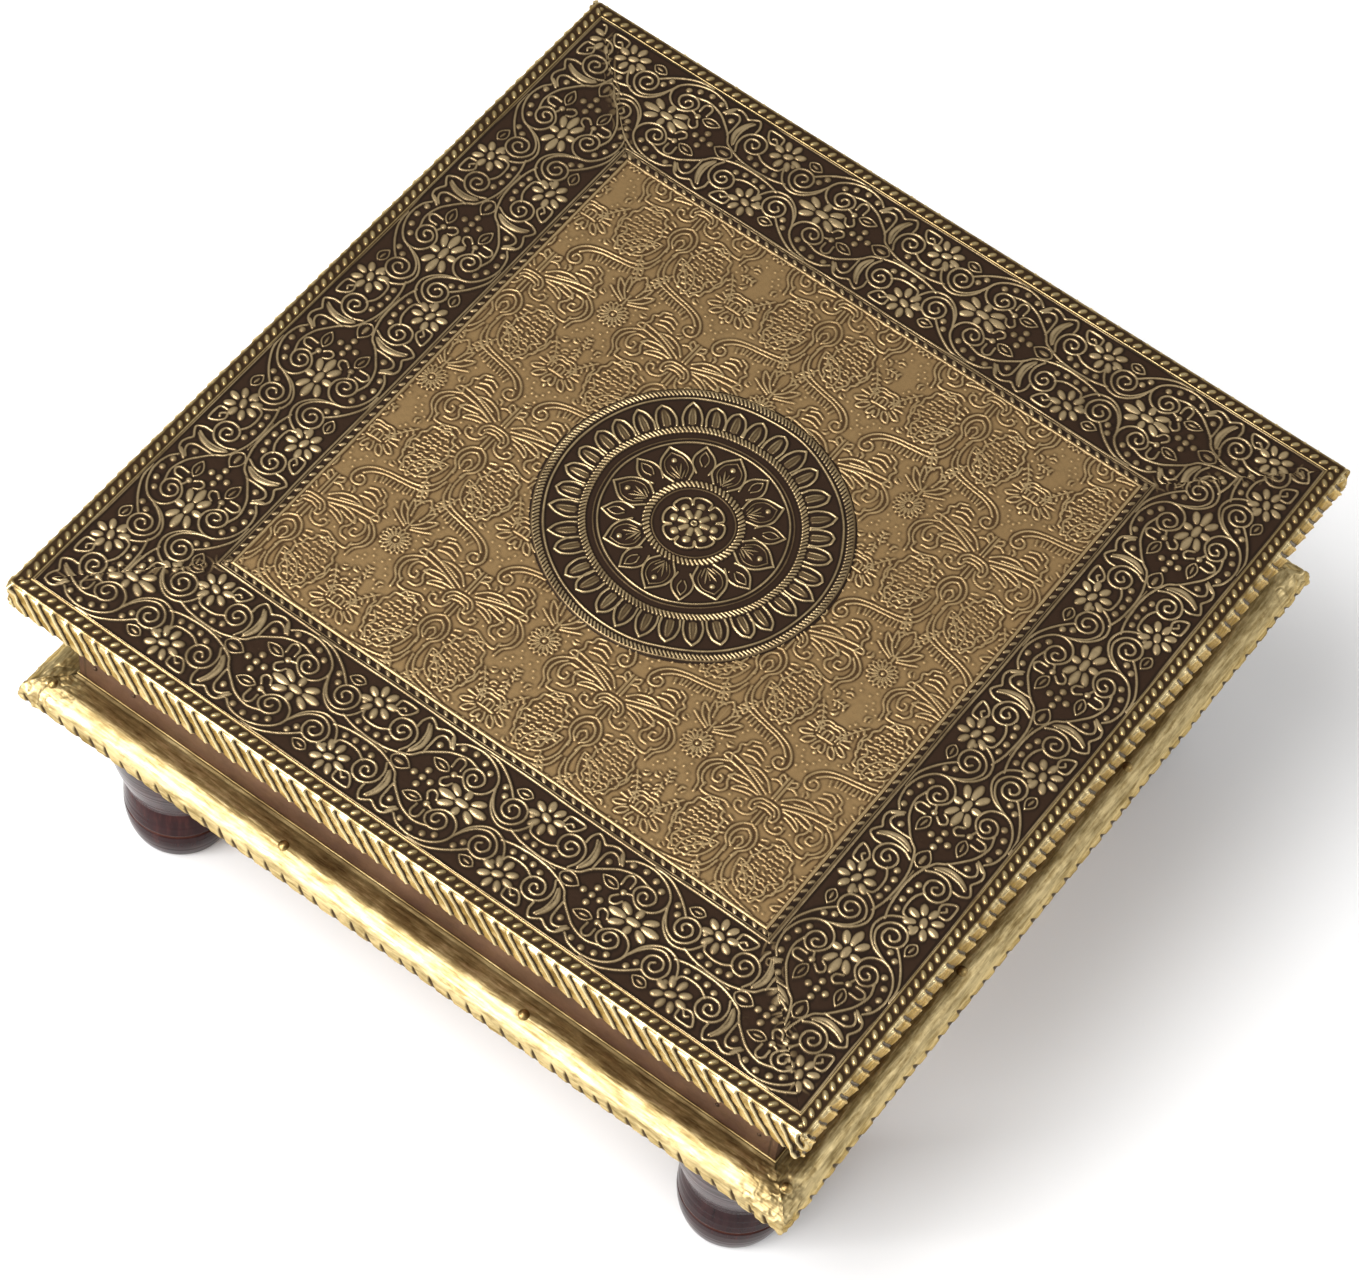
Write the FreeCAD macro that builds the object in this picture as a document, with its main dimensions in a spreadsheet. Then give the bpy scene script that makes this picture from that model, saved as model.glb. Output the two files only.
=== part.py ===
import FreeCAD, Part
import math
import os

import Sketcher

# Low square table: a sheet-clad wooden top nailed on a box of four apron rails,
# a moulded plinth frame under the box and four turned legs.
# The origin is on the floor under the middle of the top; +Z is up; the front faces -Y.

SIZES = [
    ("top_side", 306, "overall side of the square top across its edge strips"),
    ("top_height", 155, "floor to the face of the top sheets"),
    ("sheet_gauge", 0.5, "thickness of every cladding sheet"),
    ("board_thickness", 13, "wooden top board"),
    ("edge_round", 1.2, "outer radius of the edge strip where it turns over"),
    ("edge_lap", 5.5, "how far the edge strip lies over and under the board"),
    ("border_width", 43.25, "embossed border sheet, from edge strip to centre sheet"),
    ("medallion_diameter", 105, "disc fixed on the middle of the centre sheet"),
    ("top_overhang", 14, "top beyond the face of the frieze band"),
    ("rail_height", 46, "apron rail"),
    ("rail_thickness", 12, "apron rail"),
    ("plinth_projection", 14.5, "clad plinth beyond the face of the frieze band"),
    ("plinth_thickness", 8.5, "plinth batten"),
    ("plinth_width", 50, "plinth batten"),
    ("plinth_round", 8, "outer radius of the clad plinth moulding"),
    ("lip_height", 1.5, "lip of the plinth sheet turned up against the frieze band"),
    ("crimp_lap", 6, "plinth sheet folded under the batten"),
    ("block_side", 45, "corner block"),
    ("leg_inset", 36.5, "leg axis from the outer faces of the clad plinth"),
    ("collar_diameter", 48, "bead at the top of the leg, at its edges"),
    ("collar_height", 8, "bead at the top of the leg"),
    ("collar_bulge", 5, "radius of the bead's half-round face"),
    ("cove_diameter", 41, "waist between bead and shoulder"),
    ("cove_height", 2.5, "straight part of that waist"),
    ("shoulder_diameter", 53, "widest turning of the leg"),
    ("shoulder_rise", 5.5, "slope from waist to shoulder"),
    ("taper_bulge", 230, "radius of the long taper's profile"),
    ("neck_diameter", 37, "narrow end of the taper, above the bulb"),
    ("neck_height", 30, "that neck above the floor"),
    ("bulb_diameter", 38.6, "bulb, at the ring groove"),
    ("bulb_bulge", 150, "profile radius above the ring groove"),
    ("foot_bulge", 45, "profile radius below the ring groove"),
    ("groove_height", 16.6, "middle of the ring groove above the floor"),
    ("groove_width", 1.6, "ring groove"),
    ("groove_depth", 0.9, "ring groove"),
    ("foot_diameter", 34, "foot, above its worn edge"),
    ("foot_wear", 1, "bevel round the foot"),
    ("tenon_diameter", 14, "round tenon on the leg"),
    ("tenon_length", 30, "tenon through the plinth into the corner block"),
    ("fit_gap", 0.1, "clearance all round a tenon, nail, pin or screw"),
    ("screw_diameter", 4, "leg screw"),
    ("screw_length", 40, "leg screw"),
    ("screw_head", 8, "diameter of the countersunk head"),
    ("screw_sink", 3, "depth of the countersunk head"),
    ("nail_diameter", 2, "hidden nail"),
    ("nail_length", 38, "nail through the top board into a rail"),
    ("plinth_nail_length", 24, "nail through a plinth batten into a rail"),
    ("nail_head", 4.5, "diameter of a nail's flat head"),
    ("nail_head_depth", 1, "thickness of a nail's head"),
    ("top_nail_spread", 62, "top nail from the middle of its side"),
    ("plinth_nail_spread", 40, "plinth nail from the middle of its side"),
    ("pin_head", 3.8, "domed head of a plinth pin"),
    ("pin_dome", 1.2, "height of that head"),
    ("pin_shank", 1.2, "diameter of a plinth pin's shank"),
    ("pin_length", 6, "shank of a plinth pin"),
    ("pin_tilt", 10, "plinth pin's axis from the vertical, in degrees"),
    ("pin_spread", 48, "plinth pin from the middle of its side"),
    ("corner_pin_inset", 10, "corner pin from the end of its side"),
    ("tack_head", 1.6, "flat head of a frieze tack"),
    ("tack_dome", 0.5, "height of that head"),
    ("tack_shank", 0.9, "diameter of a frieze tack's shank"),
    ("tack_length", 5, "shank of a frieze tack"),
    ("tack_inset", 7, "frieze tack from the end of its band"),
    ("tack_step", 16, "distance between the two tacks at each end"),
    ("tack_height", 9, "frieze tack above the lip of the plinth sheet"),
]

# Places worked out from the sizes; every one is an expression on the sheet.
GAUGE = "Dims.sheet_gauge"
HALF_TOP = "Dims.top_side / 2"
TOP = "Dims.top_height"
BOARD_TOP = f"({TOP} - {GAUGE})"
BOARD_BOTTOM = f"({BOARD_TOP} - Dims.board_thickness)"
EDGE_BOTTOM = f"({BOARD_BOTTOM} - {GAUGE})"
EDGE_INNER = f"({HALF_TOP} - Dims.edge_lap)"
HALF_FIELD = f"({EDGE_INNER} - Dims.border_width)"
BAND_FACE = f"({HALF_TOP} - Dims.top_overhang)"
RAIL_FACE = f"({BAND_FACE} - {GAUGE})"
RAIL_BACK = f"({RAIL_FACE} - Dims.rail_thickness)"
RAIL_MIDDLE = f"({RAIL_FACE} - Dims.rail_thickness / 2)"
RAIL_BOTTOM = f"({BOARD_BOTTOM} - Dims.rail_height)"
PLINTH_FACE = f"({BAND_FACE} + Dims.plinth_projection)"
PLINTH_TOP = f"({RAIL_BOTTOM} + {GAUGE})"
PLINTH_BOTTOM = f"({RAIL_BOTTOM} - Dims.plinth_thickness)"
PLINTH_ROUND = "min(Dims.plinth_round; Dims.plinth_thickness)"
EDGE_ROUND = "min(Dims.edge_round; Dims.board_thickness / 2)"
LEG_AXIS = f"({PLINTH_FACE} - Dims.leg_inset)"
LEG_TOP = PLINTH_BOTTOM
TENON_TOP = f"({LEG_TOP} + Dims.tenon_length)"
SCREW_TIP = f"({BOARD_BOTTOM} - Dims.screw_length)"

# Each run of a frame is modelled along the rear side and turned to its own side.
SIDES = [("rear", 0), ("left", 90), ("front", 180), ("right", 270)]
# A corner has the angle of its pieces and the signs of its leg's X and Y.
CORNERS = [("rear_right", 0, 1, 1), ("rear_left", 90, -1, 1),
           ("front_left", 180, -1, -1), ("front_right", 270, 1, -1)]

doc = FreeCAD.newDocument("low_table")
sheet = doc.addObject("Spreadsheet::Sheet", "Dims")
nodes = []


def fill_sheet():
    """Write the driving sizes, one per row: value with its alias, then its meaning."""
    for row, (alias, value, meaning) in enumerate(SIZES, start=1):
        sheet.set(f"A{row}", str(value))
        sheet.setAlias(f"A{row}", alias)
        sheet.set(f"B{row}", f"{alias}: {meaning}")
    doc.recompute()


def value_of(expression):
    """Present value of an expression on the sheet."""
    return float(sheet.evalExpression(expression))


def new_body(label):
    """Body of one sub-part; its label names its file."""
    body = doc.addObject("PartDesign::Body", label)
    body.Label = label
    nodes.append(body)
    return body


def origin_feature(body, role):
    return next(item for item in body.Origin.OriginFeatures if item.Role == role)


def new_sketch(body, name, plane, offset=("0", "0", "0"), tilt=None):
    """Sketch on an origin plane; offset is in the sketch's own axes, tilt turns it clockwise."""
    sketch = body.newObject("Sketcher::SketchObject", name)
    sketch.AttachmentSupport = [(origin_feature(body, plane), "")]
    sketch.MapMode = "FlatFace"
    for axis, expression in zip("xyz", offset):
        sketch.setExpression(f".AttachmentOffset.Base.{axis}", expression)
    if tilt is not None:
        sketch.AttachmentOffset = FreeCAD.Placement(
            FreeCAD.Vector(), FreeCAD.Rotation(FreeCAD.Vector(0, 0, -1), value_of(tilt)))
        sketch.setExpression(".AttachmentOffset.Rotation.Angle", tilt)
    return sketch


def arc_between(start, end, radius):
    """Arc that keeps its centre on the right of the way from start to end, or left if radius < 0."""
    chord = end - start
    middle = (start + end) * 0.5
    right = FreeCAD.Vector(chord.y, -chord.x, 0).normalize()
    reach = math.sqrt(max(radius ** 2 - (chord.Length / 2) ** 2, 0))
    side = math.copysign(1, radius)
    centre = middle + right * reach * side
    circle = Part.Circle(centre, FreeCAD.Vector(0, 0, 1), abs(radius))
    first = math.atan2(start.y - centre.y, start.x - centre.x)
    last = math.atan2(end.y - centre.y, end.x - centre.x)
    if side > 0:
        first, last = last, first
    return Part.ArcOfCircle(circle, first, last)


def pin_corner(sketch, index, corner, point):
    """Fix one corner of an outline at its place, given as two expressions."""
    for kind, axis, expression in (("DistanceX", -2, corner[0]), ("DistanceY", -1, corner[1])):
        if expression == "0":
            sketch.addConstraint(Sketcher.Constraint("PointOnObject", index, point, axis))
            continue
        constraint = Sketcher.Constraint(kind, -1, 1, index, point, value_of(expression))
        number = sketch.addConstraint(constraint)
        sketch.setExpression(f"Constraints[{number}]", expression)


def draw_outline(sketch, corners):
    """Closed outline through corners (x, y[, radius]), each an expression.

    A radius makes the edge that leaves the corner an arc; it is negative where the arc
    keeps its centre on the left of the way round.
    """
    points = [FreeCAD.Vector(value_of(corner[0]), value_of(corner[1]), 0) for corner in corners]
    reversed_arcs = set()
    for index, corner in enumerate(corners):
        start = points[index]
        end = points[(index + 1) % len(points)]
        if len(corner) == 2:
            sketch.addGeometry(Part.LineSegment(start, end), False)
            continue
        radius = value_of(corner[2])
        sketch.addGeometry(arc_between(start, end, radius), False)
        if radius > 0:
            reversed_arcs.add(index)
        number = sketch.addConstraint(Sketcher.Constraint("Radius", index, abs(radius)))
        sketch.setExpression(f"Constraints[{number}]", f"abs({corner[2]})")
    for index in range(len(corners)):
        following = (index + 1) % len(corners)
        end_point = 1 if index in reversed_arcs else 2
        start_point = 2 if following in reversed_arcs else 1
        sketch.addConstraint(
            Sketcher.Constraint("Coincident", index, end_point, following, start_point))
    for index, corner in enumerate(corners):
        pin_corner(sketch, index, corner, 2 if index in reversed_arcs else 1)


def rectangle(x_low, x_high, y_low, y_high):
    """Corners of an upright rectangle."""
    return [(x_low, y_low), (x_low, y_high), (x_high, y_high), (x_high, y_low)]


def pad(body, name, sketch, length, symmetric=False):
    feature = body.newObject("PartDesign::Pad", name)
    feature.Profile = sketch
    feature.setExpression("Length", length)
    if symmetric:
        feature.SideType = "Symmetric"
    return feature


def flat_plate(body, corners, floor, thickness):
    """Plate of one outline lying flat, its lower face at the height floor."""
    outline = new_sketch(body, f"{body.Name}_outline", "XY_Plane", ("0", "0", floor))
    draw_outline(outline, corners)
    return pad(body, f"{body.Name}_plate", outline, thickness)


def turned_sketch(body, name, place, corners, tilt=None):
    """Half profile of a round shape whose axis stands at place and leans out by tilt."""
    x_place, y_place, z_place = place
    sketch = new_sketch(body, f"{name}_profile", "YZ_Plane", (y_place, z_place, x_place), tilt)
    draw_outline(sketch, corners)
    return sketch


def turn(body, name, place, corners, tilt=None):
    """Solid of revolution."""
    profile = turned_sketch(body, name, place, corners, tilt)
    feature = body.newObject("PartDesign::Revolution", name)
    feature.Profile = profile
    feature.ReferenceAxis = (profile, ["V_Axis"])
    return feature


def drill(body, name, place, corners, tilt=None):
    """Round cut of any stepped profile."""
    profile = turned_sketch(body, name, place, corners, tilt)
    feature = body.newObject("PartDesign::Groove", name)
    feature.Profile = profile
    feature.ReferenceAxis = (profile, ["V_Axis"])
    return feature


def repeat_on_four_sides(body, features):
    pattern = body.newObject("PartDesign::PolarPattern", f"{body.Name}_four_sides")
    pattern.Originals = features
    pattern.Axis = (origin_feature(body, "Z_Axis"), [""])
    pattern.Angle = 360
    pattern.Occurrences = 4
    body.Tip = pattern


def mitred_run(label, angle, corners):
    """Straight member of a square frame: a section carried along one side, mitred at 45 degrees.

    The section lies in the upright plane across the rear side, (distance from the middle
    of the table, height); angle turns the finished run to its own side.
    """
    body = new_body(label)
    section = new_sketch(body, f"{label}_section", "YZ_Plane")
    draw_outline(section, corners)
    pad(body, f"{label}_length", section, "Dims.top_side", symmetric=True)
    wedge = new_sketch(body, f"{label}_wedge", "XY_Plane")
    draw_outline(wedge, [("0", "0"), ("Dims.top_side", "Dims.top_side"), ("Dims.top_side", "0")])
    mitre = body.newObject("PartDesign::Pocket", f"{label}_mitre")
    mitre.Profile = wedge
    mitre.Type = "ThroughAll"
    mitre.SideType = "Symmetric"
    both_ends = body.newObject("PartDesign::Mirrored", f"{label}_both_ends")
    both_ends.Originals = [mitre]
    both_ends.MirrorPlane = (origin_feature(body, "YZ_Plane"), [""])
    body.Tip = both_ends
    body.Placement = FreeCAD.Placement(
        FreeCAD.Vector(), FreeCAD.Rotation(FreeCAD.Vector(0, 0, 1), angle))
    return body


def place_at_leg(body, angle, x_sign, y_sign):
    """Stand a body on the axis of one leg, turned to its corner."""
    body.Placement = FreeCAD.Placement(
        FreeCAD.Vector(), FreeCAD.Rotation(FreeCAD.Vector(0, 0, 1), angle))
    body.setExpression(".Placement.Base.x", f"{x_sign} * {LEG_AXIS}")
    body.setExpression(".Placement.Base.y", f"{y_sign} * {LEG_AXIS}")


def nail_profile(length, gap="0"):
    """Nail with a flat head flush at the origin; with a gap it is the hole for one."""
    head = f"(Dims.nail_head / 2 + {gap})"
    shank = f"(Dims.nail_diameter / 2 + {gap})"
    return [("0", "0"), (head, "0"), (head, "-Dims.nail_head_depth"),
            (shank, "-Dims.nail_head_depth"), (shank, f"-{length}"), ("0", f"-{length}")]


def dome_pin_profile(head, dome, shank, length):
    """Pin with a domed head whose rim rests at the origin."""
    dome_radius = f"((({head} / 2) ^ 2 + {dome} ^ 2) / (2 * {dome}))"
    return [("0", f"-{length}"), ("0", dome, dome_radius), (f"{head} / 2", "0"),
            (f"{shank} / 2", "0"), (f"{shank} / 2", f"-{length}")]


def pin_bore_profile(shank, length):
    """Hole for the shank of a pin, open a little above the surface it is driven through."""
    radius = f"({shank} / 2 + Dims.fit_gap)"
    return rectangle("0", radius, f"-{length}", GAUGE)


def top_nail_places():
    return [(f"{sign} * Dims.top_nail_spread", RAIL_MIDDLE, BOARD_TOP) for sign in (-1, 1)]


def plinth_nail_places():
    return [(f"{sign} * Dims.plinth_nail_spread", RAIL_MIDDLE, PLINTH_BOTTOM) for sign in (-1, 1)]


def plinth_pin_places():
    """Two pins along each side and one near its end, on the round of the moulding."""
    outward = f"{PLINTH_FACE} - {PLINTH_ROUND} + {PLINTH_ROUND} * sin(Dims.pin_tilt)"
    height = f"{PLINTH_TOP} - {PLINTH_ROUND} + {PLINTH_ROUND} * cos(Dims.pin_tilt)"
    along = ["-Dims.pin_spread", "Dims.pin_spread", f"{PLINTH_FACE} - Dims.corner_pin_inset"]
    return [(place, outward, height) for place in along]


def frieze_tack_places():
    """Two tacks near each end of a band."""
    height = f"{PLINTH_TOP} + Dims.lip_height + Dims.tack_height"
    insets = ["Dims.tack_inset", "(Dims.tack_inset + Dims.tack_step)"]
    return [(f"{sign} * ({BAND_FACE} - {inset})", BAND_FACE, height)
            for sign in (-1, 1) for inset in insets]


def drill_all(body, name, places, corners, tilt=None):
    for number, place in enumerate(places, start=1):
        drill(body, f"{body.Name}_{name}_{number}", place, corners, tilt)


def drill_for_plinth_pins(body):
    profile = pin_bore_profile("Dims.pin_shank", "Dims.pin_length")
    drill_all(body, "pin_hole", plinth_pin_places(), profile, "Dims.pin_tilt")


def drill_for_tacks(body):
    profile = pin_bore_profile("Dims.tack_shank", "Dims.tack_length")
    drill_all(body, "tack_hole", frieze_tack_places(), profile, "90")


def make_top_board():
    """Solid wooden top with its edge rounded over and eight nail holes."""
    body = new_body("top_board")
    half = f"({HALF_TOP} - {GAUGE})"
    plate = flat_plate(body, rectangle(f"-{half}", half, f"-{half}", half),
                       BOARD_BOTTOM, "Dims.board_thickness")
    doc.recompute()
    heights = (value_of(BOARD_BOTTOM), value_of(BOARD_TOP))
    level = [f"Edge{number}" for number, edge in enumerate(plate.Shape.Edges, start=1)
             if edge.BoundBox.ZLength < 1e-6 and
             min(abs(edge.BoundBox.ZMin - height) for height in heights) < 1e-6]
    rounding = body.newObject("PartDesign::Fillet", "top_board_rounding")
    rounding.Base = (plate, level)
    rounding.setExpression("Radius", f"{EDGE_ROUND} - {GAUGE}")
    doc.recompute()
    profile = nail_profile("Dims.nail_length", "Dims.fit_gap")
    holes = [drill(body, f"top_board_nail_hole_{number}", place, profile)
             for number, place in enumerate(top_nail_places(), start=1)]
    repeat_on_four_sides(body, holes)


def make_top_sheets():
    """Centre sheet, four mitred border sheets and the medallion disc."""
    centre = new_body("centre_sheet")
    flat_plate(centre, rectangle(f"-{HALF_FIELD}", HALF_FIELD, f"-{HALF_FIELD}", HALF_FIELD),
               BOARD_TOP, GAUGE)
    for side, angle in SIDES:
        mitred_run(f"border_sheet_{side}", angle,
                   rectangle(HALF_FIELD, EDGE_INNER, BOARD_TOP, TOP))
    medallion = new_body("medallion")
    turn(medallion, "medallion_disc", ("0", "0", TOP),
         rectangle("0", "Dims.medallion_diameter / 2", "0", GAUGE))


def make_edge_strip(side, angle):
    """Sheet rolled round the edge of the board, lying over it and under it."""
    curve = f"({HALF_TOP} - {EDGE_ROUND})"
    inner_face = f"({HALF_TOP} - {GAUGE})"
    inner_round = f"({EDGE_ROUND} - {GAUGE})"
    upper_bend = f"({TOP} - {EDGE_ROUND})"
    lower_bend = f"({EDGE_BOTTOM} + {EDGE_ROUND})"
    mitred_run(f"edge_strip_{side}", angle, [
        (EDGE_INNER, TOP),
        (curve, TOP, EDGE_ROUND),
        (HALF_TOP, upper_bend),
        (HALF_TOP, lower_bend, EDGE_ROUND),
        (curve, EDGE_BOTTOM),
        (EDGE_INNER, EDGE_BOTTOM),
        (EDGE_INNER, BOARD_BOTTOM),
        (curve, BOARD_BOTTOM, f"-{inner_round}"),
        (inner_face, lower_bend),
        (inner_face, upper_bend, f"-{inner_round}"),
        (curve, BOARD_TOP),
        (EDGE_INNER, BOARD_TOP),
    ])


def make_apron_rail(side, angle):
    """Wooden rail under the top, drilled for nails from above and below and for tacks."""
    rail = mitred_run(f"apron_rail_{side}", angle,
                      rectangle(RAIL_BACK, RAIL_FACE, RAIL_BOTTOM, BOARD_BOTTOM))
    drill_all(rail, "top_nail_hole", top_nail_places(),
              nail_profile("Dims.nail_length", "Dims.fit_gap"))
    drill_all(rail, "plinth_nail_hole", plinth_nail_places(),
              nail_profile("Dims.plinth_nail_length", "Dims.fit_gap"), "180")
    drill_for_tacks(rail)


def make_frieze_band(side, angle):
    """Smooth sheet on the face of a rail."""
    band = mitred_run(f"frieze_band_{side}", angle,
                      rectangle(RAIL_FACE, BAND_FACE, RAIL_BOTTOM, BOARD_BOTTOM))
    drill_for_tacks(band)


def make_plinth_batten(side, angle):
    """Flat batten with a rounded upper edge; the leg tenons pass through its mitres."""
    face = f"({PLINTH_FACE} - {GAUGE})"
    curve = f"({PLINTH_FACE} - {PLINTH_ROUND})"
    bend = f"({PLINTH_TOP} - {PLINTH_ROUND})"
    back = f"({face} - Dims.plinth_width)"
    batten = mitred_run(f"plinth_batten_{side}", angle, [
        (back, PLINTH_BOTTOM),
        (back, RAIL_BOTTOM),
        (curve, RAIL_BOTTOM, f"({PLINTH_ROUND} - {GAUGE})"),
        (face, bend),
        (face, PLINTH_BOTTOM),
    ])
    tenon = "(Dims.tenon_diameter / 2 + Dims.fit_gap)"
    drill_all(batten, "tenon_hole",
              [(f"{sign} * {LEG_AXIS}", LEG_AXIS, PLINTH_BOTTOM) for sign in (-1, 1)],
              rectangle("0", tenon, "0", "Dims.plinth_thickness"))
    drill_all(batten, "nail_hole", plinth_nail_places(),
              nail_profile("Dims.plinth_nail_length", "Dims.fit_gap"), "180")
    drill_for_plinth_pins(batten)


def make_plinth_sheet(side, angle):
    """Sheet dressed over the moulding: lip against the frieze, fold under the batten."""
    curve = f"({PLINTH_FACE} - {PLINTH_ROUND})"
    bend = f"({PLINTH_TOP} - {PLINTH_ROUND})"
    inner_face = f"({PLINTH_FACE} - {GAUGE})"
    lip_top = f"({PLINTH_TOP} + Dims.lip_height)"
    lip_face = f"({BAND_FACE} + {GAUGE})"
    fold_end = f"({PLINTH_FACE} - Dims.crimp_lap)"
    fold_bottom = f"({PLINTH_BOTTOM} - {GAUGE})"
    cladding = mitred_run(f"plinth_sheet_{side}", angle, [
        (BAND_FACE, RAIL_BOTTOM),
        (BAND_FACE, lip_top),
        (lip_face, lip_top),
        (lip_face, PLINTH_TOP),
        (curve, PLINTH_TOP, PLINTH_ROUND),
        (PLINTH_FACE, bend),
        (PLINTH_FACE, fold_bottom),
        (fold_end, fold_bottom),
        (fold_end, PLINTH_BOTTOM),
        (inner_face, PLINTH_BOTTOM),
        (inner_face, bend, f"-({PLINTH_ROUND} - {GAUGE})"),
        (curve, RAIL_BOTTOM),
    ])
    drill_for_plinth_pins(cladding)


def make_corner_block(corner, angle, x_sign, y_sign):
    """Glue block in a corner of the rails, bored for the leg's tenon and its screw."""
    block = new_body(f"corner_block_{corner}")
    outer = f"({RAIL_BACK} - {LEG_AXIS})"
    inner = f"({outer} - Dims.block_side)"
    flat_plate(block, rectangle(inner, outer, inner, outer), RAIL_BOTTOM, "Dims.rail_height")
    tenon = "(Dims.tenon_diameter / 2 + Dims.fit_gap)"
    shank = "(Dims.screw_diameter / 2 + Dims.fit_gap)"
    head = "(Dims.screw_head / 2 + Dims.fit_gap)"
    tenon_end = f"({TENON_TOP} + Dims.fit_gap)"
    drill(block, f"corner_block_{corner}_bore", ("0", "0", "0"), [
        ("0", RAIL_BOTTOM),
        ("0", BOARD_BOTTOM),
        (head, BOARD_BOTTOM),
        (shank, f"({BOARD_BOTTOM} - Dims.screw_sink)"),
        (shank, tenon_end),
        (tenon, tenon_end),
        (tenon, RAIL_BOTTOM),
    ])
    place_at_leg(block, angle, x_sign, y_sign)


def make_leg(corner, angle, x_sign, y_sign):
    """Turned leg: tenon, bead, waist, long taper, bulb with a ring groove, foot."""
    leg = new_body(f"leg_{corner}")
    pilot = "(Dims.screw_diameter / 2 + Dims.fit_gap)"
    bead_bottom = f"({LEG_TOP} - Dims.collar_height)"
    waist_bottom = f"({bead_bottom} - Dims.cove_height)"
    shoulder = f"({waist_bottom} - Dims.shoulder_rise)"
    groove_top = "(Dims.groove_height + Dims.groove_width / 2)"
    groove_bottom = "(Dims.groove_height - Dims.groove_width / 2)"
    groove_floor = "(Dims.bulb_diameter / 2 - Dims.groove_depth)"
    turn(leg, f"leg_{corner}_turning", ("0", "0", "0"), [
        ("0", "0"),
        ("0", f"({SCREW_TIP} - Dims.fit_gap)"),
        (pilot, f"({SCREW_TIP} - Dims.fit_gap)"),
        (pilot, TENON_TOP),
        ("Dims.tenon_diameter / 2", TENON_TOP),
        ("Dims.tenon_diameter / 2", LEG_TOP),
        ("Dims.collar_diameter / 2", LEG_TOP, "Dims.collar_bulge"),
        ("Dims.collar_diameter / 2", bead_bottom),
        ("Dims.cove_diameter / 2", bead_bottom),
        ("Dims.cove_diameter / 2", waist_bottom),
        ("Dims.shoulder_diameter / 2", shoulder, "Dims.taper_bulge"),
        ("Dims.neck_diameter / 2", "Dims.neck_height", "Dims.bulb_bulge"),
        ("Dims.bulb_diameter / 2", groove_top),
        (groove_floor, "Dims.groove_height"),
        ("Dims.bulb_diameter / 2", groove_bottom, "Dims.foot_bulge"),
        ("Dims.foot_diameter / 2", "Dims.foot_wear"),
        ("(Dims.foot_diameter / 2 - Dims.foot_wear)", "0"),
    ])
    place_at_leg(leg, angle, x_sign, y_sign)


def make_leg_screws():
    """Countersunk screws down through the corner blocks into the tenons."""
    body = new_body("leg_screws")
    shank = "Dims.screw_diameter / 2"
    screw = turn(body, "leg_screw", (LEG_AXIS, LEG_AXIS, BOARD_BOTTOM), [
        ("0", "-Dims.screw_length"),
        ("0", "0"),
        ("Dims.screw_head / 2", "0"),
        (shank, "-Dims.screw_sink"),
        (shank, "-(Dims.screw_length - Dims.screw_diameter)"),
    ])
    repeat_on_four_sides(body, [screw])


def make_fastener_group(label, places, corners, tilt=None):
    """Identical fasteners at the same places on all four sides."""
    body = new_body(label)
    features = [turn(body, f"{label}_{number}", place, corners, tilt)
                for number, place in enumerate(places, start=1)]
    repeat_on_four_sides(body, features)


def make_fasteners():
    make_leg_screws()
    make_fastener_group("top_nails", top_nail_places(), nail_profile("Dims.nail_length"))
    make_fastener_group("plinth_nails", plinth_nail_places(),
                        nail_profile("Dims.plinth_nail_length"), "180")
    make_fastener_group(
        "plinth_pins", plinth_pin_places(),
        dome_pin_profile("Dims.pin_head", "Dims.pin_dome", "Dims.pin_shank", "Dims.pin_length"),
        "Dims.pin_tilt")
    make_fastener_group(
        "frieze_tacks", frieze_tack_places(),
        dome_pin_profile("Dims.tack_head", "Dims.tack_dome", "Dims.tack_shank",
                         "Dims.tack_length"),
        "90")


def check_model():
    """Stop if a feature failed, a cut took nothing away or a sub-part has no sound shape."""
    for item in doc.Objects:
        if "Invalid" in item.State or "Error" in item.State:
            raise RuntimeError(f"{item.Label} failed: {item.State}")
        if item.TypeId in ("PartDesign::Pocket", "PartDesign::Groove"):
            if item.Shape.Volume > item.BaseFeature.Shape.Volume - 1e-3:
                raise RuntimeError(f"{item.Label} cuts nothing")
    for body in nodes:
        if body.Shape.isNull() or not body.Shape.isValid():
            raise RuntimeError(f"{body.Label} has no sound shape")


def write_parts():
    os.makedirs("parts", exist_ok=True)
    for body in nodes:
        body.Shape.exportStep(f"parts/{body.Label}.step")


fill_sheet()
make_top_board()
make_top_sheets()
for side, angle in SIDES:
    make_edge_strip(side, angle)
    make_apron_rail(side, angle)
    make_frieze_band(side, angle)
    make_plinth_batten(side, angle)
    make_plinth_sheet(side, angle)
for corner in CORNERS:
    make_corner_block(*corner)
    make_leg(*corner)
make_fasteners()
doc.recompute()
check_model()
write_parts()
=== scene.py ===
import math

import bpy
import numpy as np
from mathutils import Matrix, Vector


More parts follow.
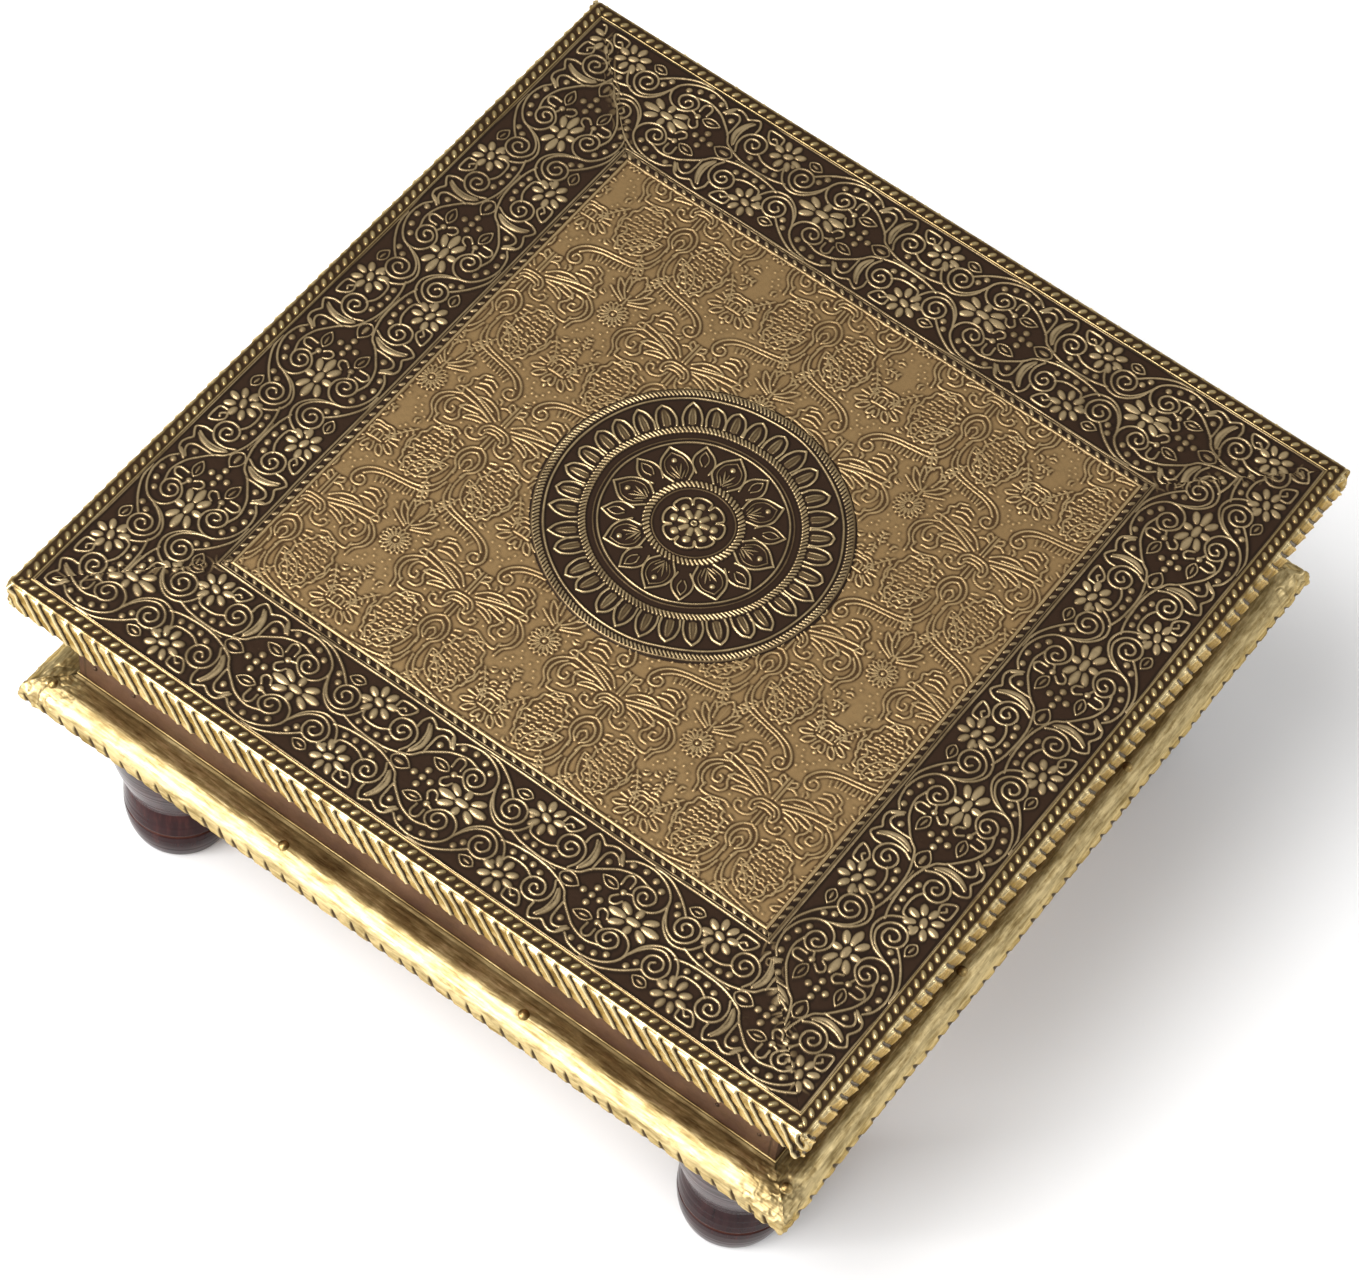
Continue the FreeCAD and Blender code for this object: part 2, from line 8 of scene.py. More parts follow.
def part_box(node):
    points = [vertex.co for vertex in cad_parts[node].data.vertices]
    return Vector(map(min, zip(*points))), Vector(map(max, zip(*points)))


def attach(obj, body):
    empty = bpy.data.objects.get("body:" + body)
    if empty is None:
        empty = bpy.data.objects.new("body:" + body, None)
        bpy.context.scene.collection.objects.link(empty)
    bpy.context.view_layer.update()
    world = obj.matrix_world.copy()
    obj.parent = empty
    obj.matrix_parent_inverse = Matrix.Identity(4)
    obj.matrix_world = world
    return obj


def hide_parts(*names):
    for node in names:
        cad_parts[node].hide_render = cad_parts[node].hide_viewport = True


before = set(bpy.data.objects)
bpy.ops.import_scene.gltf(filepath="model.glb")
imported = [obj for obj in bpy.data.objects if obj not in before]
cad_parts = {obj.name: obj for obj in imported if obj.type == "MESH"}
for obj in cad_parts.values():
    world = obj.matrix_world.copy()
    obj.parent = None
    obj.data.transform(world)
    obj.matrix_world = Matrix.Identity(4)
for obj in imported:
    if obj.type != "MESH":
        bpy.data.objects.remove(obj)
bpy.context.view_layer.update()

# The table stands on z = 0 under the middle of its square top. The front side faces -Y.
# Plan sizes below are in millimetres on the sheet; meshes are written in metres.
MM = 0.001

TOP_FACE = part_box("centre_sheet")[1][2] / MM
HALF_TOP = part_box("edge_strip_front")[1][0] / MM
EDGE_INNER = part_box("border_sheet_front")[1][0] / MM
HALF_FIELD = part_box("centre_sheet")[1][0] / MM
EDGE_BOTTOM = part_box("edge_strip_front")[0][2] / MM
MEDALLION_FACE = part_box("medallion")[1][2] / MM
MEDALLION_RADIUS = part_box("medallion")[1][0] / MM
BAND_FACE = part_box("frieze_band_rear")[1][1] / MM
PLINTH_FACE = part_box("plinth_sheet_rear")[1][1] / MM
PLINTH_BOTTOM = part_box("plinth_sheet_rear")[0][2] / MM
LIP_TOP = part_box("plinth_sheet_rear")[1][2] / MM
SHEET_GAUGE = 0.5
EDGE_ROUND = 1.2
FLUTE_LEAN = 7.5
PLINTH_ROUND = 8.0
LIP_HEIGHT = 1.5
DENT_LIMIT = 0.34


# ---------------------------------------------------------------- curves in the plane

def flowing(points, step=0.35):
    """Smooth curve through a few points, sampled evenly (centripetal Catmull-Rom)."""
    knots = np.array(points, float)
    if len(knots) == 2:
        count = max(2, int(np.linalg.norm(knots[1] - knots[0]) / step))
        return knots[0] + np.linspace(0, 1, count)[:, None] * (knots[1] - knots[0])
    ends = np.vstack([2 * knots[0] - knots[1], knots, 2 * knots[-1] - knots[-2]])
    pieces = []
    for a, b, c, d in zip(ends, ends[1:], ends[2:], ends[3:]):
        gaps = [max(np.linalg.norm(q - p), 1e-6) ** 0.5 for p, q in ((a, b), (b, c), (c, d))]
        t0, t1 = 0.0, gaps[0]
        t2 = t1 + gaps[1]
        t3 = t2 + gaps[2]
        count = max(2, int(np.linalg.norm(c - b) / step))
        t = np.linspace(t1, t2, count, endpoint=False)[:, None]
        ab = (t1 - t) / (t1 - t0) * a + (t - t0) / (t1 - t0) * b
        bc = (t2 - t) / (t2 - t1) * b + (t - t1) / (t2 - t1) * c
        cd = (t3 - t) / (t3 - t2) * c + (t - t2) / (t3 - t2) * d
        abc = (t2 - t) / (t2 - t0) * ab + (t - t0) / (t2 - t0) * bc
        bcd = (t3 - t) / (t3 - t1) * bc + (t - t1) / (t3 - t1) * cd
        pieces.append((t2 - t) / (t2 - t1) * abc + (t - t1) / (t2 - t1) * bcd)
    return np.vstack(pieces + [knots[-1:]])


def circle(centre, radius, count=40):
    angle = np.linspace(0, 2 * math.pi, count + 1)
    return np.column_stack([centre[0] + radius * np.cos(angle), centre[1] + radius * np.sin(angle)])


WIDEST = 0.45


def leaf_outline(base, tip, width):
    """Closed pointed leaf from base to tip, widest a little before its middle."""
    base, tip = np.array(base, float), np.array(tip, float)
    along = tip - base
    across = np.array([-along[1], along[0]]) / max(np.linalg.norm(along), 1e-6)
    t = np.linspace(0, 1, 15)
    warped = t ** (math.log(0.5) / math.log(WIDEST))
    half = width / 2 * np.sin(math.pi * warped) ** 0.9
    one = base + t[:, None] * along + half[:, None] * across
    other = base + t[:, None] * along - half[:, None] * across
    return np.vstack([one, other[::-1]])


# ---------------------------------------------------------------- embossed relief

class Relief:
    """Height map, in millimetres, of a piece of embossed sheet; the highest stroke wins."""

    def __init__(self, low, high, pitch, wrap=0.0):
        self.low = np.array(low, float)
        self.pitch = pitch
        self.wrap = wrap
        size = np.ceil((np.array(high, float) - self.low) / pitch).astype(int) + 1
        self.height = np.zeros((size[1], size[0]))
        self.xs = self.low[0] + pitch * np.arange(size[0])
        self.ys = self.low[1] + pitch * np.arange(size[1])

    def window(self, x_low, x_high, y_low, y_high):
        c0 = max(0, int((x_low - self.low[0]) / self.pitch))
        c1 = min(len(self.xs), int((x_high - self.low[0]) / self.pitch) + 2)
        r0 = max(0, int((y_low - self.low[1]) / self.pitch))
        r1 = min(len(self.ys), int((y_high - self.low[1]) / self.pitch) + 2)
        return (slice(r0, r1), slice(c0, c1)) if c1 > c0 and r1 > r0 else None

    def stroke(self, points, width, height=0.55, taper=0.0, edge=1.0):
        """Rounded ridge along points; taper 1 brings both ends to a point."""
        points = np.asarray(points, float)
        if len(points) == 1:
            points = np.vstack([points, points + 1e-4])
        shifts = (-self.wrap, 0.0, self.wrap) if self.wrap else (0.0,)
        t = np.linspace(0, 1, len(points))
        swell = 1 - taper * (1 - np.sin(math.pi * t) ** 0.6)
        half = np.maximum(width / 2 * swell, 0.12)
        for shift in shifts:
            moved = points + np.array([shift, 0.0])
            for p, q, r, lift in zip(moved, moved[1:], half[1:], swell[1:]):
                self.capsule(p, q, r, height * (0.45 + 0.55 * lift), edge)

    def capsule(self, p, q, radius, height, edge):
        frame_ = self.window(min(p[0], q[0]) - radius, max(p[0], q[0]) + radius,
                             min(p[1], q[1]) - radius, max(p[1], q[1]) + radius)
        if frame_ is None:
            return
        x = self.xs[frame_[1]][None, :]
        y = self.ys[frame_[0]][:, None]
        d = q - p
        length2 = max(float(d @ d), 1e-9)
        t = np.clip(((x - p[0]) * d[0] + (y - p[1]) * d[1]) / length2, 0, 1)
        dist2 = (x - p[0] - t * d[0]) ** 2 + (y - p[1] - t * d[1]) ** 2
        ridge = height * np.clip(1 - dist2 / radius ** 2, 0, 1) ** edge
        np.maximum(self.height[frame_], ridge, out=self.height[frame_])

    def dome(self, centre, radius, height=0.6):
        self.stroke([centre], radius * 2, height, edge=0.8)

    def ring_dot(self, centre, radius, height=0.5):
        """Small ring with a hollow middle, as a worn punch leaves."""
        self.stroke(circle(centre, radius * 0.68, 14), radius * 0.72, height)
        self.dome(centre, radius * 0.4, height * 0.72)

    def petal(self, base, tip, width, height=0.5):
        """Solid raised petal."""
        base, tip = np.array(base, float), np.array(tip, float)
        self.stroke(base + np.linspace(0.12, 0.88, 9)[:, None] * (tip - base), width, height,
                    taper=0.75, edge=0.8)

    def leaf(self, base, tip, width, line=0.75, height=0.5, rib=True):
        """Outlined leaf with a raised middle."""
        self.stroke(leaf_outline(base, tip, width), line, height)
        if rib:
            base, tip = np.array(base, float), np.array(tip, float)
            self.stroke(base + np.linspace(0.25, 0.72, 6)[:, None] * (tip - base),
                        width * 0.34, height * 0.8, taper=0.9)

    def sample(self, x, y):
        """Height at any points, by smooth lookup; X wraps where the relief repeats."""
        u = (np.asarray(x) - self.low[0]) / self.pitch
        if self.wrap:
            u = np.mod(u, self.wrap / self.pitch)
        v = (np.asarray(y) - self.low[1]) / self.pitch
        u = np.clip(u, 0, len(self.xs) - 1.001)
        v = np.clip(v, 0, len(self.ys) - 1.001)
        c, r = u.astype(int), v.astype(int)
        fu, fv = u - c, v - r
        z = self.height
        low = z[r, c] * (1 - fu) + z[r, c + 1] * fu
        high = z[r + 1, c] * (1 - fu) + z[r + 1, c + 1] * fu
        return low * (1 - fv) + high * fv


def wander(rng, x, y, scale):
    """Smooth random field of about -1..1 that changes over the given distance."""
    size = 64
    table = rng.uniform(-1, 1, (size, size))
    u, v = np.asarray(x) / scale + 1000.37, np.asarray(y) / scale + 1000.61
    c, r = np.floor(u).astype(int), np.floor(v).astype(int)
    fu, fv = u - c, v - r
    fu, fv = fu * fu * (3 - 2 * fu), fv * fv * (3 - 2 * fv)
    c0, c1, r0, r1 = c % size, (c + 1) % size, r % size, (r + 1) % size
    low = table[r0, c0] * (1 - fu) + table[r0, c1] * fu
    high = table[r1, c0] * (1 - fu) + table[r1, c1] * fu
    return low * (1 - fv) + high * fv


def scatter(relief, centre, count, radius, length, width, start=0.0, height=0.5):
    """Ring of solid petals round a centre."""
    for angle in np.radians(start + 360.0 * np.arange(count) / count):
        way = np.array([math.cos(angle), math.sin(angle)])
        middle = np.array(centre) + radius * way
        relief.petal(middle - way * length / 2, middle + way * length / 2, width, height)


def rope_ring(relief, radius, width, pitch, lean=0.9, height=0.5):
    """Twisted cord round the centre of the medallion."""
    count = int(2 * math.pi * radius / pitch)
    for k in range(count):
        angle = 2 * math.pi * k / count
        turn = lean / radius
        inner, outer = radius - width / 2, radius + width / 2
        relief.stroke([(inner * math.cos(angle), inner * math.sin(angle)),
                       (outer * math.cos(angle + turn), outer * math.sin(angle + turn))],
                      pitch * 0.82, height)


# ---------------------------------------------------------------- border design

SCROLL_PERIOD = 65.2
SCROLL_MIDDLE = 127.3
SCROLL_HALF = 20.1
ROW_START = 104.0
ROW_WIDTH = 2.2
EDGE_ROW_WIDTH = 2.75


def border_relief():
    """One repeat of the scrolling flower border; the other half mirrors the drawn one."""
    half = Relief((0, 0), (SCROLL_PERIOD, 21.5), 0.12, wrap=SCROLL_PERIOD)
    line, dots = 1.12, 1.3
    scrolls = [
        [(29.8, 15.8), (32.3, 17.7), (38.0, 18.7), (43.7, 17.1), (47.5, 13.9), (48.6, 10.6),
         (47.5, 7.2), (44.6, 5.1), (41.4, 5.1), (38.6, 7.2), (37.6, 9.5), (38.6, 11.6),
         (40.8, 12.7), (43.3, 12.0), (44.8, 9.9), (44.1, 7.6), (42.2, 6.5), (40.3, 7.2),
         (39.5, 9.1), (40.6, 10.5), (41.9, 10.0), (42.2, 9.0)],
        [(17.1, 2.1), (20.9, 4.0), (23.0, 6.8), (26.6, 9.9), (30.4, 12.5), (36.1, 13.9),
         (40.3, 12.8)],
        [(48.1, 12.9), (49.0, 10.1), (50.9, 5.3), (54.2, 2.1), (57.6, 1.0), (61.8, 2.3),
         (64.2, 5.3), (65.2, 8.0)],
        [(48.8, 10.6), (50.5, 7.2), (53.2, 4.0), (57.0, 2.5), (60.4, 4.0), (62.1, 7.2),
         (61.2, 10.5), (58.5, 12.0), (55.7, 11.4), (54.0, 9.1), (54.3, 6.3), (56.4, 4.8),
         (58.9, 5.3), (59.9, 7.6), (58.5, 9.7), (56.6, 9.5), (55.9, 8.0), (57.0, 6.9)],
        [(38.0, 19.6), (43.7, 19.0), (48.5, 16.7), (52.3, 13.9), (55.1, 11.2)],
        [(17.1, 3.0), (18.6, 6.3), (18.4, 10.1), (16.5, 12.5), (13.7, 13.5), (10.8, 12.5),
         (9.5, 10.1), (10.1, 7.2), (12.0, 5.7), (14.6, 5.7), (16.3, 7.6), (16.2, 10.1),
         (14.3, 11.2), (12.4, 10.6), (12.0, 8.7), (13.3, 7.8), (14.4, 8.9)],
        [(10.5, 7.0), (7.6, 5.3), (3.8, 4.9), (0.8, 5.7), (0.0, 8.0)],
        [(-4.2, 2.3), (0.0, 1.1), (4.5, 0.6), (9.0, 0.5), (13.5, 1.0), (17.1, 2.1)],
        [(16.2, 13.3), (16.3, 16.0), (17.9, 18.4), (20.0, 17.5), (21.5, 16.5), (23.4, 17.5),
         (25.5, 18.1), (27.4, 17.5), (28.9, 15.6)],
        [(23.2, 6.8), (23.2, 11.4), (23.6, 14.4), (25.1, 15.8), (27.0, 15.4), (28.9, 13.7)],
        [(6.6, 15.0), (7.0, 17.4), (10.3, 18.0), (12.9, 17.5), (11.8, 14.8), (9.9, 13.3),
         (7.6, 13.9)],
        [(8.0, 14.6), (9.3, 15.8), (10.2, 15.2)],
        [(33.2, 8.6), (33.2, 12.0), (34.6, 13.0), (36.1, 12.0), (36.3, 9.0)],
        [(34.6, 5.1), (33.2, 3.0), (34.2, 1.5), (35.9, 1.9), (37.0, 3.8)],
        [(36.6, 6.9), (38.3, 7.6)],
        [(18.6, 16.2), (19.9, 13.0), (20.2, 9.0), (19.3, 5.0)],
    ]
    for points in scrolls:
        half.stroke(flowing(points, 0.5), line, 0.52)
    half.stroke(flowing([(19.4, 16.3), (20.9, 12.9), (21.5, 9.1), (20.4, 5.9), (19.2, 4.0)]),
                2.5, 0.55, taper=0.9)
    half.stroke(flowing([(27.4, 16.8), (28.6, 15.2), (30.0, 13.6)]), 1.9, 0.55, taper=0.6)
    half.stroke([(2.0, 0.0), (14.5, 0.0)], 1.7, 0.5, taper=0.5)
    half.leaf((16.5, 0.3), (23.4, 0.0), 4.6)
    half.leaf((33.4, 6.6), (27.0, 7.8), 3.4)
    half.leaf((59.6, 15.2), (54.2, 14.4), 3.5)
    half.dome((35.5, 6.7), 1.25)
    scatter(half, (1.9, 12.4), 8, 4.5, 3.9, 2.9, start=14, height=0.6)
    half.petal((0.2, 13.1), (3.5, 11.8), 2.9, 0.6)
    for base, tip, width in [((41.2, 0.0), (34.4, 0.0), 3.5), ((46.7, 0.0), (53.6, 0.0), 3.4),
                             ((44.0, 1.9), (43.9, 5.3), 2.9), ((41.6, 1.6), (37.2, 4.4), 3.1),
                             ((46.5, 1.6), (50.7, 4.4), 3.1), ((41.5, 0.0), (46.6, 0.0), 3.2)]:
        half.petal(base, tip, width, 0.62)
    for spot in [(25.3, 0.0), (28.5, 0.0), (31.5, 0.0), (28.5, 3.1), (25.7, 12.4), (32.3, 16.0),
                 (36.7, 16.8), (40.9, 15.8), (44.2, 13.8), (50.9, 13.1), (52.6, 10.3),
                 (1.0, 3.3), (4.6, 2.8), (8.4, 2.9), (11.6, 4.0), (63.2, 10.3)]:
        half.dome(spot, dots, 0.5)
    return half


def leaf_row(pitch, width, slant):
    """One slanted leaf of the narrow rows that run beside the scrolls."""
    row = Relief((0, 0), (pitch, width), 0.1, wrap=pitch)
    lean = 1.15 * slant
    rise = width * 0.42
    row.petal((pitch / 2 - lean, width / 2 - rise), (pitch / 2 + lean, width / 2 + rise),
              width * 0.72, 0.5)
    return row


def ridge(distance, width, height):
    return height * np.clip(1 - (distance / (width / 2)) ** 2, 0, 1)


def border_height(design, row, x, y, offset):
    """Relief of a border strip: X along the side, Y outward from the middle of the table."""
    across = np.abs(y - SCROLL_MIDDLE)
    scroll = design.sample(x + offset, np.minimum(across, 21.0))
    scroll = np.where(across < SCROLL_HALF - 0.5, scroll, 0)
    lines = ridge(across - SCROLL_HALF, 1.0, 0.46)
    lines = np.maximum(lines, ridge(y - (SCROLL_MIDDLE - SCROLL_HALF - 0.85), 0.7, 0.36))
    band = row.sample(x + 0.7, np.clip(y - ROW_START, 0, ROW_WIDTH))
    band = np.where(y < ROW_START + ROW_WIDTH, band, 0)
    return np.maximum(np.maximum(scroll, lines), band)


# ---------------------------------------------------------------- centre field design

FIELD_STEP = 29.7
FIELD_RISE = 114.3
FIELD_START = (0.66 * FIELD_STEP, -57.2)


def feather(relief, foot, tip, barbs, reach):
    """Stem from foot to tip with short barbs on both sides."""
    foot, tip = np.array(foot, float), np.array(tip, float)
    way = (tip - foot) / np.linalg.norm(tip - foot)
    side = np.array([-way[1], way[0]])
    relief.stroke(flowing([foot, (foot + tip) / 2 + side * 0.4, tip], 0.4), 0.75, 0.46)
    for step in np.linspace(0.15, 0.85, barbs):
        joint = foot + step * (tip - foot)
        for hand in (-1, 1):
            relief.petal(joint, joint + way * reach * 0.7 + side * hand * reach, 1.0, 0.46)


def field_motif():
    """Flower, scroll arms, crown and bulb on the right of one upright axis, then mirrored."""
    art = Relief((-36, -66), (36, 66), 0.15)
    rng = np.random.default_rng(8)
    line = 0.86
    paths = [
        [(0, 25.2), (2.5, 25.5), (4.4, 23.8), (4.0, 20.0)],
        [(0, 24.1), (1.9, 24.2), (3.1, 22.9), (2.9, 20.2)],
        [(0, 22.6), (1.2, 22.2), (1.7, 20.9), (1.6, 19.6)],
        [(0, 21.4), (0, 19.6)],
        [(0, 19.0), (2.9, 18.9)],
        [(4.8, 22.0), (6.8, 23.1)],
        [(5.0, 20.6), (8.0, 20.8)],
        [(4.9, 19.4), (6.6, 18.8), (8.4, 17.1), (7.2, 16.6), (5.4, 17.4), (4.2, 18.3)],
        [(3.2, 17.9), (5.0, 16.6), (6.0, 14.3), (4.6, 14.3), (3.0, 15.8), (2.5, 17.4)],
        [(1.0, 17.6), (1.8, 16.0), (1.9, 14.2), (0.6, 14.2), (0.2, 16.0)],
        [(27.7, 26.2), (27.8, 20.0), (26.2, 16.2), (23.4, 13.7), (17.7, 12.2), (12.0, 11.2),
         (7.2, 9.5), (4.4, 6.7), (3.4, 3.4), (4.4, 1.3), (6.3, 0.8), (8.2, 2.1), (7.8, 4.2),
         (5.9, 4.7), (5.2, 3.2)],
        [(28.9, 20.0), (27.6, 15.0), (24.3, 12.2), (17.7, 10.8), (12.0, 9.8), (8.4, 8.2),
         (6.0, 5.9)],
        [(0.6, 0.2), (0.6, -8.6)],
        [(2.4, -7.4), (5.6, -4.4), (10.0, -3.2), (13.2, -4.4), (10.0, -4.9), (6.0, -6.2)],
        [(3.0, -8.6), (8.5, -6.4), (15.0, -4.4), (20.3, -4.2), (21.0, -5.6), (18.0, -6.2),
         (11.0, -7.2), (5.0, -9.4)],
        [(4.2, -9.8), (9.5, -8.2), (14.0, -9.0), (15.6, -10.8), (13.0, -10.6), (9.0, -9.8)],
        [(4.8, -10.4), (8.6, -10.6), (11.6, -12.2), (12.2, -13.6), (9.4, -12.6), (6.4, -11.8)],
        [(1.0, -0.6), (2.6, 0.4), (3.0, -1.2), (1.6, -2.2)],
        [(1.0, -3.0), (3.0, -2.4), (4.6, -3.2)],
        [(0, -10.2), (3.1, -10.7), (4.9, -13.0), (4.3, -15.6), (3.1, -15.6), (2.8, -13.9),
         (0, -12.9)],
        [(0, -11.5), (2.6, -12.0), (3.7, -13.6)],
        [(1.9, -15.0), (3.0, -17.6), (5.7, -18.8), (8.2, -17.8), (8.6, -16.0), (7.0, -15.4),
         (6.3, -16.6)],
        [(0.8, -14.6), (0.8, -19.2)],
        [(9.0, -19.4), (11.0, -18.6), (14.0, -19.6), (17.0, -20.4), (19.4, -20.0),
         (19.5, -17.4)],
        [(9.0, -21.8), (11.5, -21.0), (14.0, -22.0), (17.5, -22.6)],
        [(0, -19.8), (2.6, -21.2), (4.4, -24.5), (4.2, -28.0), (2.0, -30.8), (1.4, -33.0)],
        [(0, -22.0), (1.9, -23.3), (2.9, -25.8), (2.4, -28.6), (0.8, -30.2)],
        [(0, -25.3), (1.3, -26.9), (0.9, -29.2)],
        [(5.5, -22.4), (7.4, -21.6)], [(5.8, -24.3), (8.0, -24.0)],
        [(5.8, -26.2), (8.0, -26.6)], [(5.2, -28.0), (7.3, -29.2)],
        [(14.5, 4.8), (17.2, 3.6), (17.6, 1.6), (19.1, 0.6), (18.4, -1.8), (19.1, -3.8),
         (18.0, -6.4)],
        [(11.0, 2.6), (13.6, 3.6), (15.8, 2.6)], [(10.6, 0.4), (13.6, 1.4), (16.2, 0.4)],
        [(10.2, -1.6), (13.6, -0.9), (16.6, -1.7)],
        [(18.6, -6.6), (21.5, -8.4), (23.8, -11.4), (23.6, -15.4), (21.2, -18.6),
         (20.6, -22.0)],
        [(19.6, -8.6), (21.6, -10.8), (22.3, -13.4), (21.6, -16.2), (19.4, -18.4)],
        [(15.6, -8.6), (18.6, -9.0), (19.9, -11.8), (18.6, -14.8), (16.4, -14.6),
         (16.4, -12.6), (17.6, -12.2)],
        [(14.6, -8.8), (14.8, -12.2), (13.4, -14.6), (14.6, -16.8), (17.4, -17.2)],
        [(27.9, 3.0), (27.2, 7.0), (28.2, 9.8), (29.7, 11.6)],
        [(29.0, 0.0), (26.2, 3.6), (25.2, 8.6), (27.4, 6.0)],
        [(28.6, -0.6), (24.6, 2.2), (22.8, 6.0), (25.8, 4.2)],
        [(28.4, -1.4), (25.0, 0.0), (22.0, 1.6)],
        [(11.0, 25.0), (13.4, 22.4), (12.6, 18.8), (14.8, 15.6)],
        [(9.2, 28.0), (9.0, 24.6), (10.6, 21.0)],
    ]
    for points in paths:
        art.stroke(flowing(points, 0.5), line, 0.5)
    art.stroke([(29.7, 2.5), (29.7, 9.0)], 1.2, 0.45, taper=0.8)
    art.stroke([(29.7, -2.0), (29.7, 2.0)], 1.0, 0.45)
    for angle in np.radians(np.arange(90, 271, 22.5)):
        way = np.array([math.cos(angle), math.sin(angle)])
        heart = np.array([29.7, -7.6])
        art.leaf(heart + 1.5 * way, heart + 5.2 * way, 1.7, line=0.6, rib=False)
    art.dome((29.7, -7.6), 0.8)
    art.dome((0, 13.0), 0.8)
    arm = flowing([(26.6, 13.8), (23.0, 11.2), (17.7, 9.6), (12.0, 8.6), (8.6, 6.6)], 1.35)
    for here, there in zip(arm, arm[1:]):
        way = (there - here) / max(np.linalg.norm(there - here), 1e-6)
        tip = here + np.array([way[1], -way[0]]) * -2.1 + way * 0.5
        art.stroke([here, tip], 0.75, 0.42)
    mango = np.array([13.2, -31.6])
    turn = np.radians(np.arange(0, 361, 12))
    scallop = 1.0 + 0.05 * np.cos(15 * turn)
    art.stroke(flowing(mango + np.column_stack([6.6 * scallop * np.cos(turn),
                                                11.2 * scallop * np.sin(turn)]), 0.5), line, 0.5)
    for level in range(11):
        rise = -22.4 - 1.85 * level
        for place in np.arange(7.6 + 0.9 * (level % 2), 19.0, 2.15):
            x, y = place + rng.uniform(-0.4, 0.4), rise + rng.uniform(-0.35, 0.35)
            if ((x - mango[0]) / 5.6) ** 2 + ((y - mango[1]) / 10.0) ** 2 > 1:
                continue
            bend = rng.uniform(-0.6, 0.7)
            art.stroke(flowing([(x - 0.8, y - bend * 0.6), (x, y + 0.5 * bend),
                                (x + 0.7, y - 0.3)], 0.4), rng.uniform(0.6, 0.95), 0.44)
    art.leaf((16.2, 15.4), (25.6, 25.4), 6.8, rib=False)
    feather(art, (17.2, 16.4), (24.6, 24.4), 4, 1.5)
    feather(art, (6.4, -39.5), (2.2, -49.0), 5, 1.7)
    feather(art, (21.0, -26.5), (26.8, -36.5), 5, 1.7)
    for spot in [(2.2, 9.6), (1.8, 5.6), (0.9, 8.0), (6.6, -13.6), (8.6, -15.0), (11.4, -15.6),
                 (24.9, -1.4), (25.6, -18.0), (26.6, -14.4), (24.2, -20.0), (28.0, -16.6),
                 (3.0, 11.8), (8.8, 13.8), (5.6, 11.6), (21.2, 4.4), (21.0, 8.0), (18.6, 7.6)]:
        art.dome(spot, 0.55, 0.36)
    art.height = np.maximum(art.height, art.height[:, ::-1])
    return art


def field_relief():
    """Half-drop repeat of the centre sheet."""
    art = field_motif()
    tile = Relief((0, 0), (2 * FIELD_STEP, FIELD_RISE), 0.15)
    tall = int(round(FIELD_RISE / tile.pitch))
    wide = int(round(2 * FIELD_STEP / tile.pitch))
    folded = np.zeros((tall, wide))
    for across, up in ((0.0, 0.0), (FIELD_STEP, FIELD_RISE / 2)):
        rows = np.round((art.ys + up) / tile.pitch).astype(int) % tall
        columns = np.round((art.xs + across) / tile.pitch).astype(int) % wide
        spread = np.zeros((tall, len(columns)))
        np.maximum.at(spread, rows, art.height)
        np.maximum.at(folded.T, columns, spread.T)
    tile.height = folded
    tile.xs = tile.xs[:wide]
    tile.ys = tile.ys[:tall]
    tile.wrap = 2 * FIELD_STEP
    rng = np.random.default_rng(5)
    for _ in range(2):
        tile.height = np.roll(tile.height, tall // 2, axis=0)
        fill_gaps(tile, rng)
    tile.wrap = 0.0
    tile.height = np.pad(tile.height, ((0, 1), (0, 1)), mode="wrap")
    tile.xs = tile.pitch * np.arange(wide + 1)
    tile.ys = tile.pitch * np.arange(tall + 1)
    return tile


def is_clear(tile, spot, radius):
    patch = tile.window(spot[0] - radius, spot[0] + radius, spot[1] - radius, spot[1] + radius)
    return patch is not None and tile.height[patch].max() < 0.06


def fill_gaps(tile, rng):
    """Small sprays, commas and seeds struck wherever the main figures leave bare sheet."""
    tall, wide = FIELD_RISE, 2 * FIELD_STEP
    for kind, radius, tries in (("spray", 2.5, 1200), ("comma", 1.45, 2600), ("seed", 1.0, 500)):
        for spot in rng.uniform((3, 4), (wide - 3, tall - 4), (tries, 2)):
            if not is_clear(tile, spot, radius):
                continue
            angle = rng.uniform(0, 2 * math.pi)
            way = np.array([math.cos(angle), math.sin(angle)])
            side = np.array([-way[1], way[0]])
            if kind == "spray":
                feather(tile, spot - way * 2.4, spot + way * 2.2, 3, 1.7)
            elif kind == "comma":
                bend = [spot - way * 1.2, spot + side * 0.7, spot + way * 1.3]
                tile.stroke(flowing(bend, 0.3), 1.15, 0.46, taper=0.7)
                tile.stroke([spot - side * 1.0 - way * 0.6, spot - side * 0.9 + way * 0.7], 0.6, 0.36)
            else:
                tile.dome(spot, rng.uniform(0.4, 0.62), 0.36)


def field_height(design, x, y):
    """Repeating relief, looked up with both directions wrapping."""
    return design.sample(np.mod(x - FIELD_START[0], 2 * FIELD_STEP),
                         np.mod(y - FIELD_START[1], FIELD_RISE))


# ---------------------------------------------------------------- medallion design

def spin(points, angle):
    c, s = math.cos(angle), math.sin(angle)
    points = np.asarray(points, float)
    return np.column_stack([points[:, 0] * c - points[:, 1] * s,
                            points[:, 0] * s + points[:, 1] * c])


def struck(art, points, angle, width, height, taper=0.0):
    """Flowing stroke drawn along +X and turned round the middle of the disc."""
    art.stroke(spin(flowing(points, 0.5), angle), width, height, taper=taper)


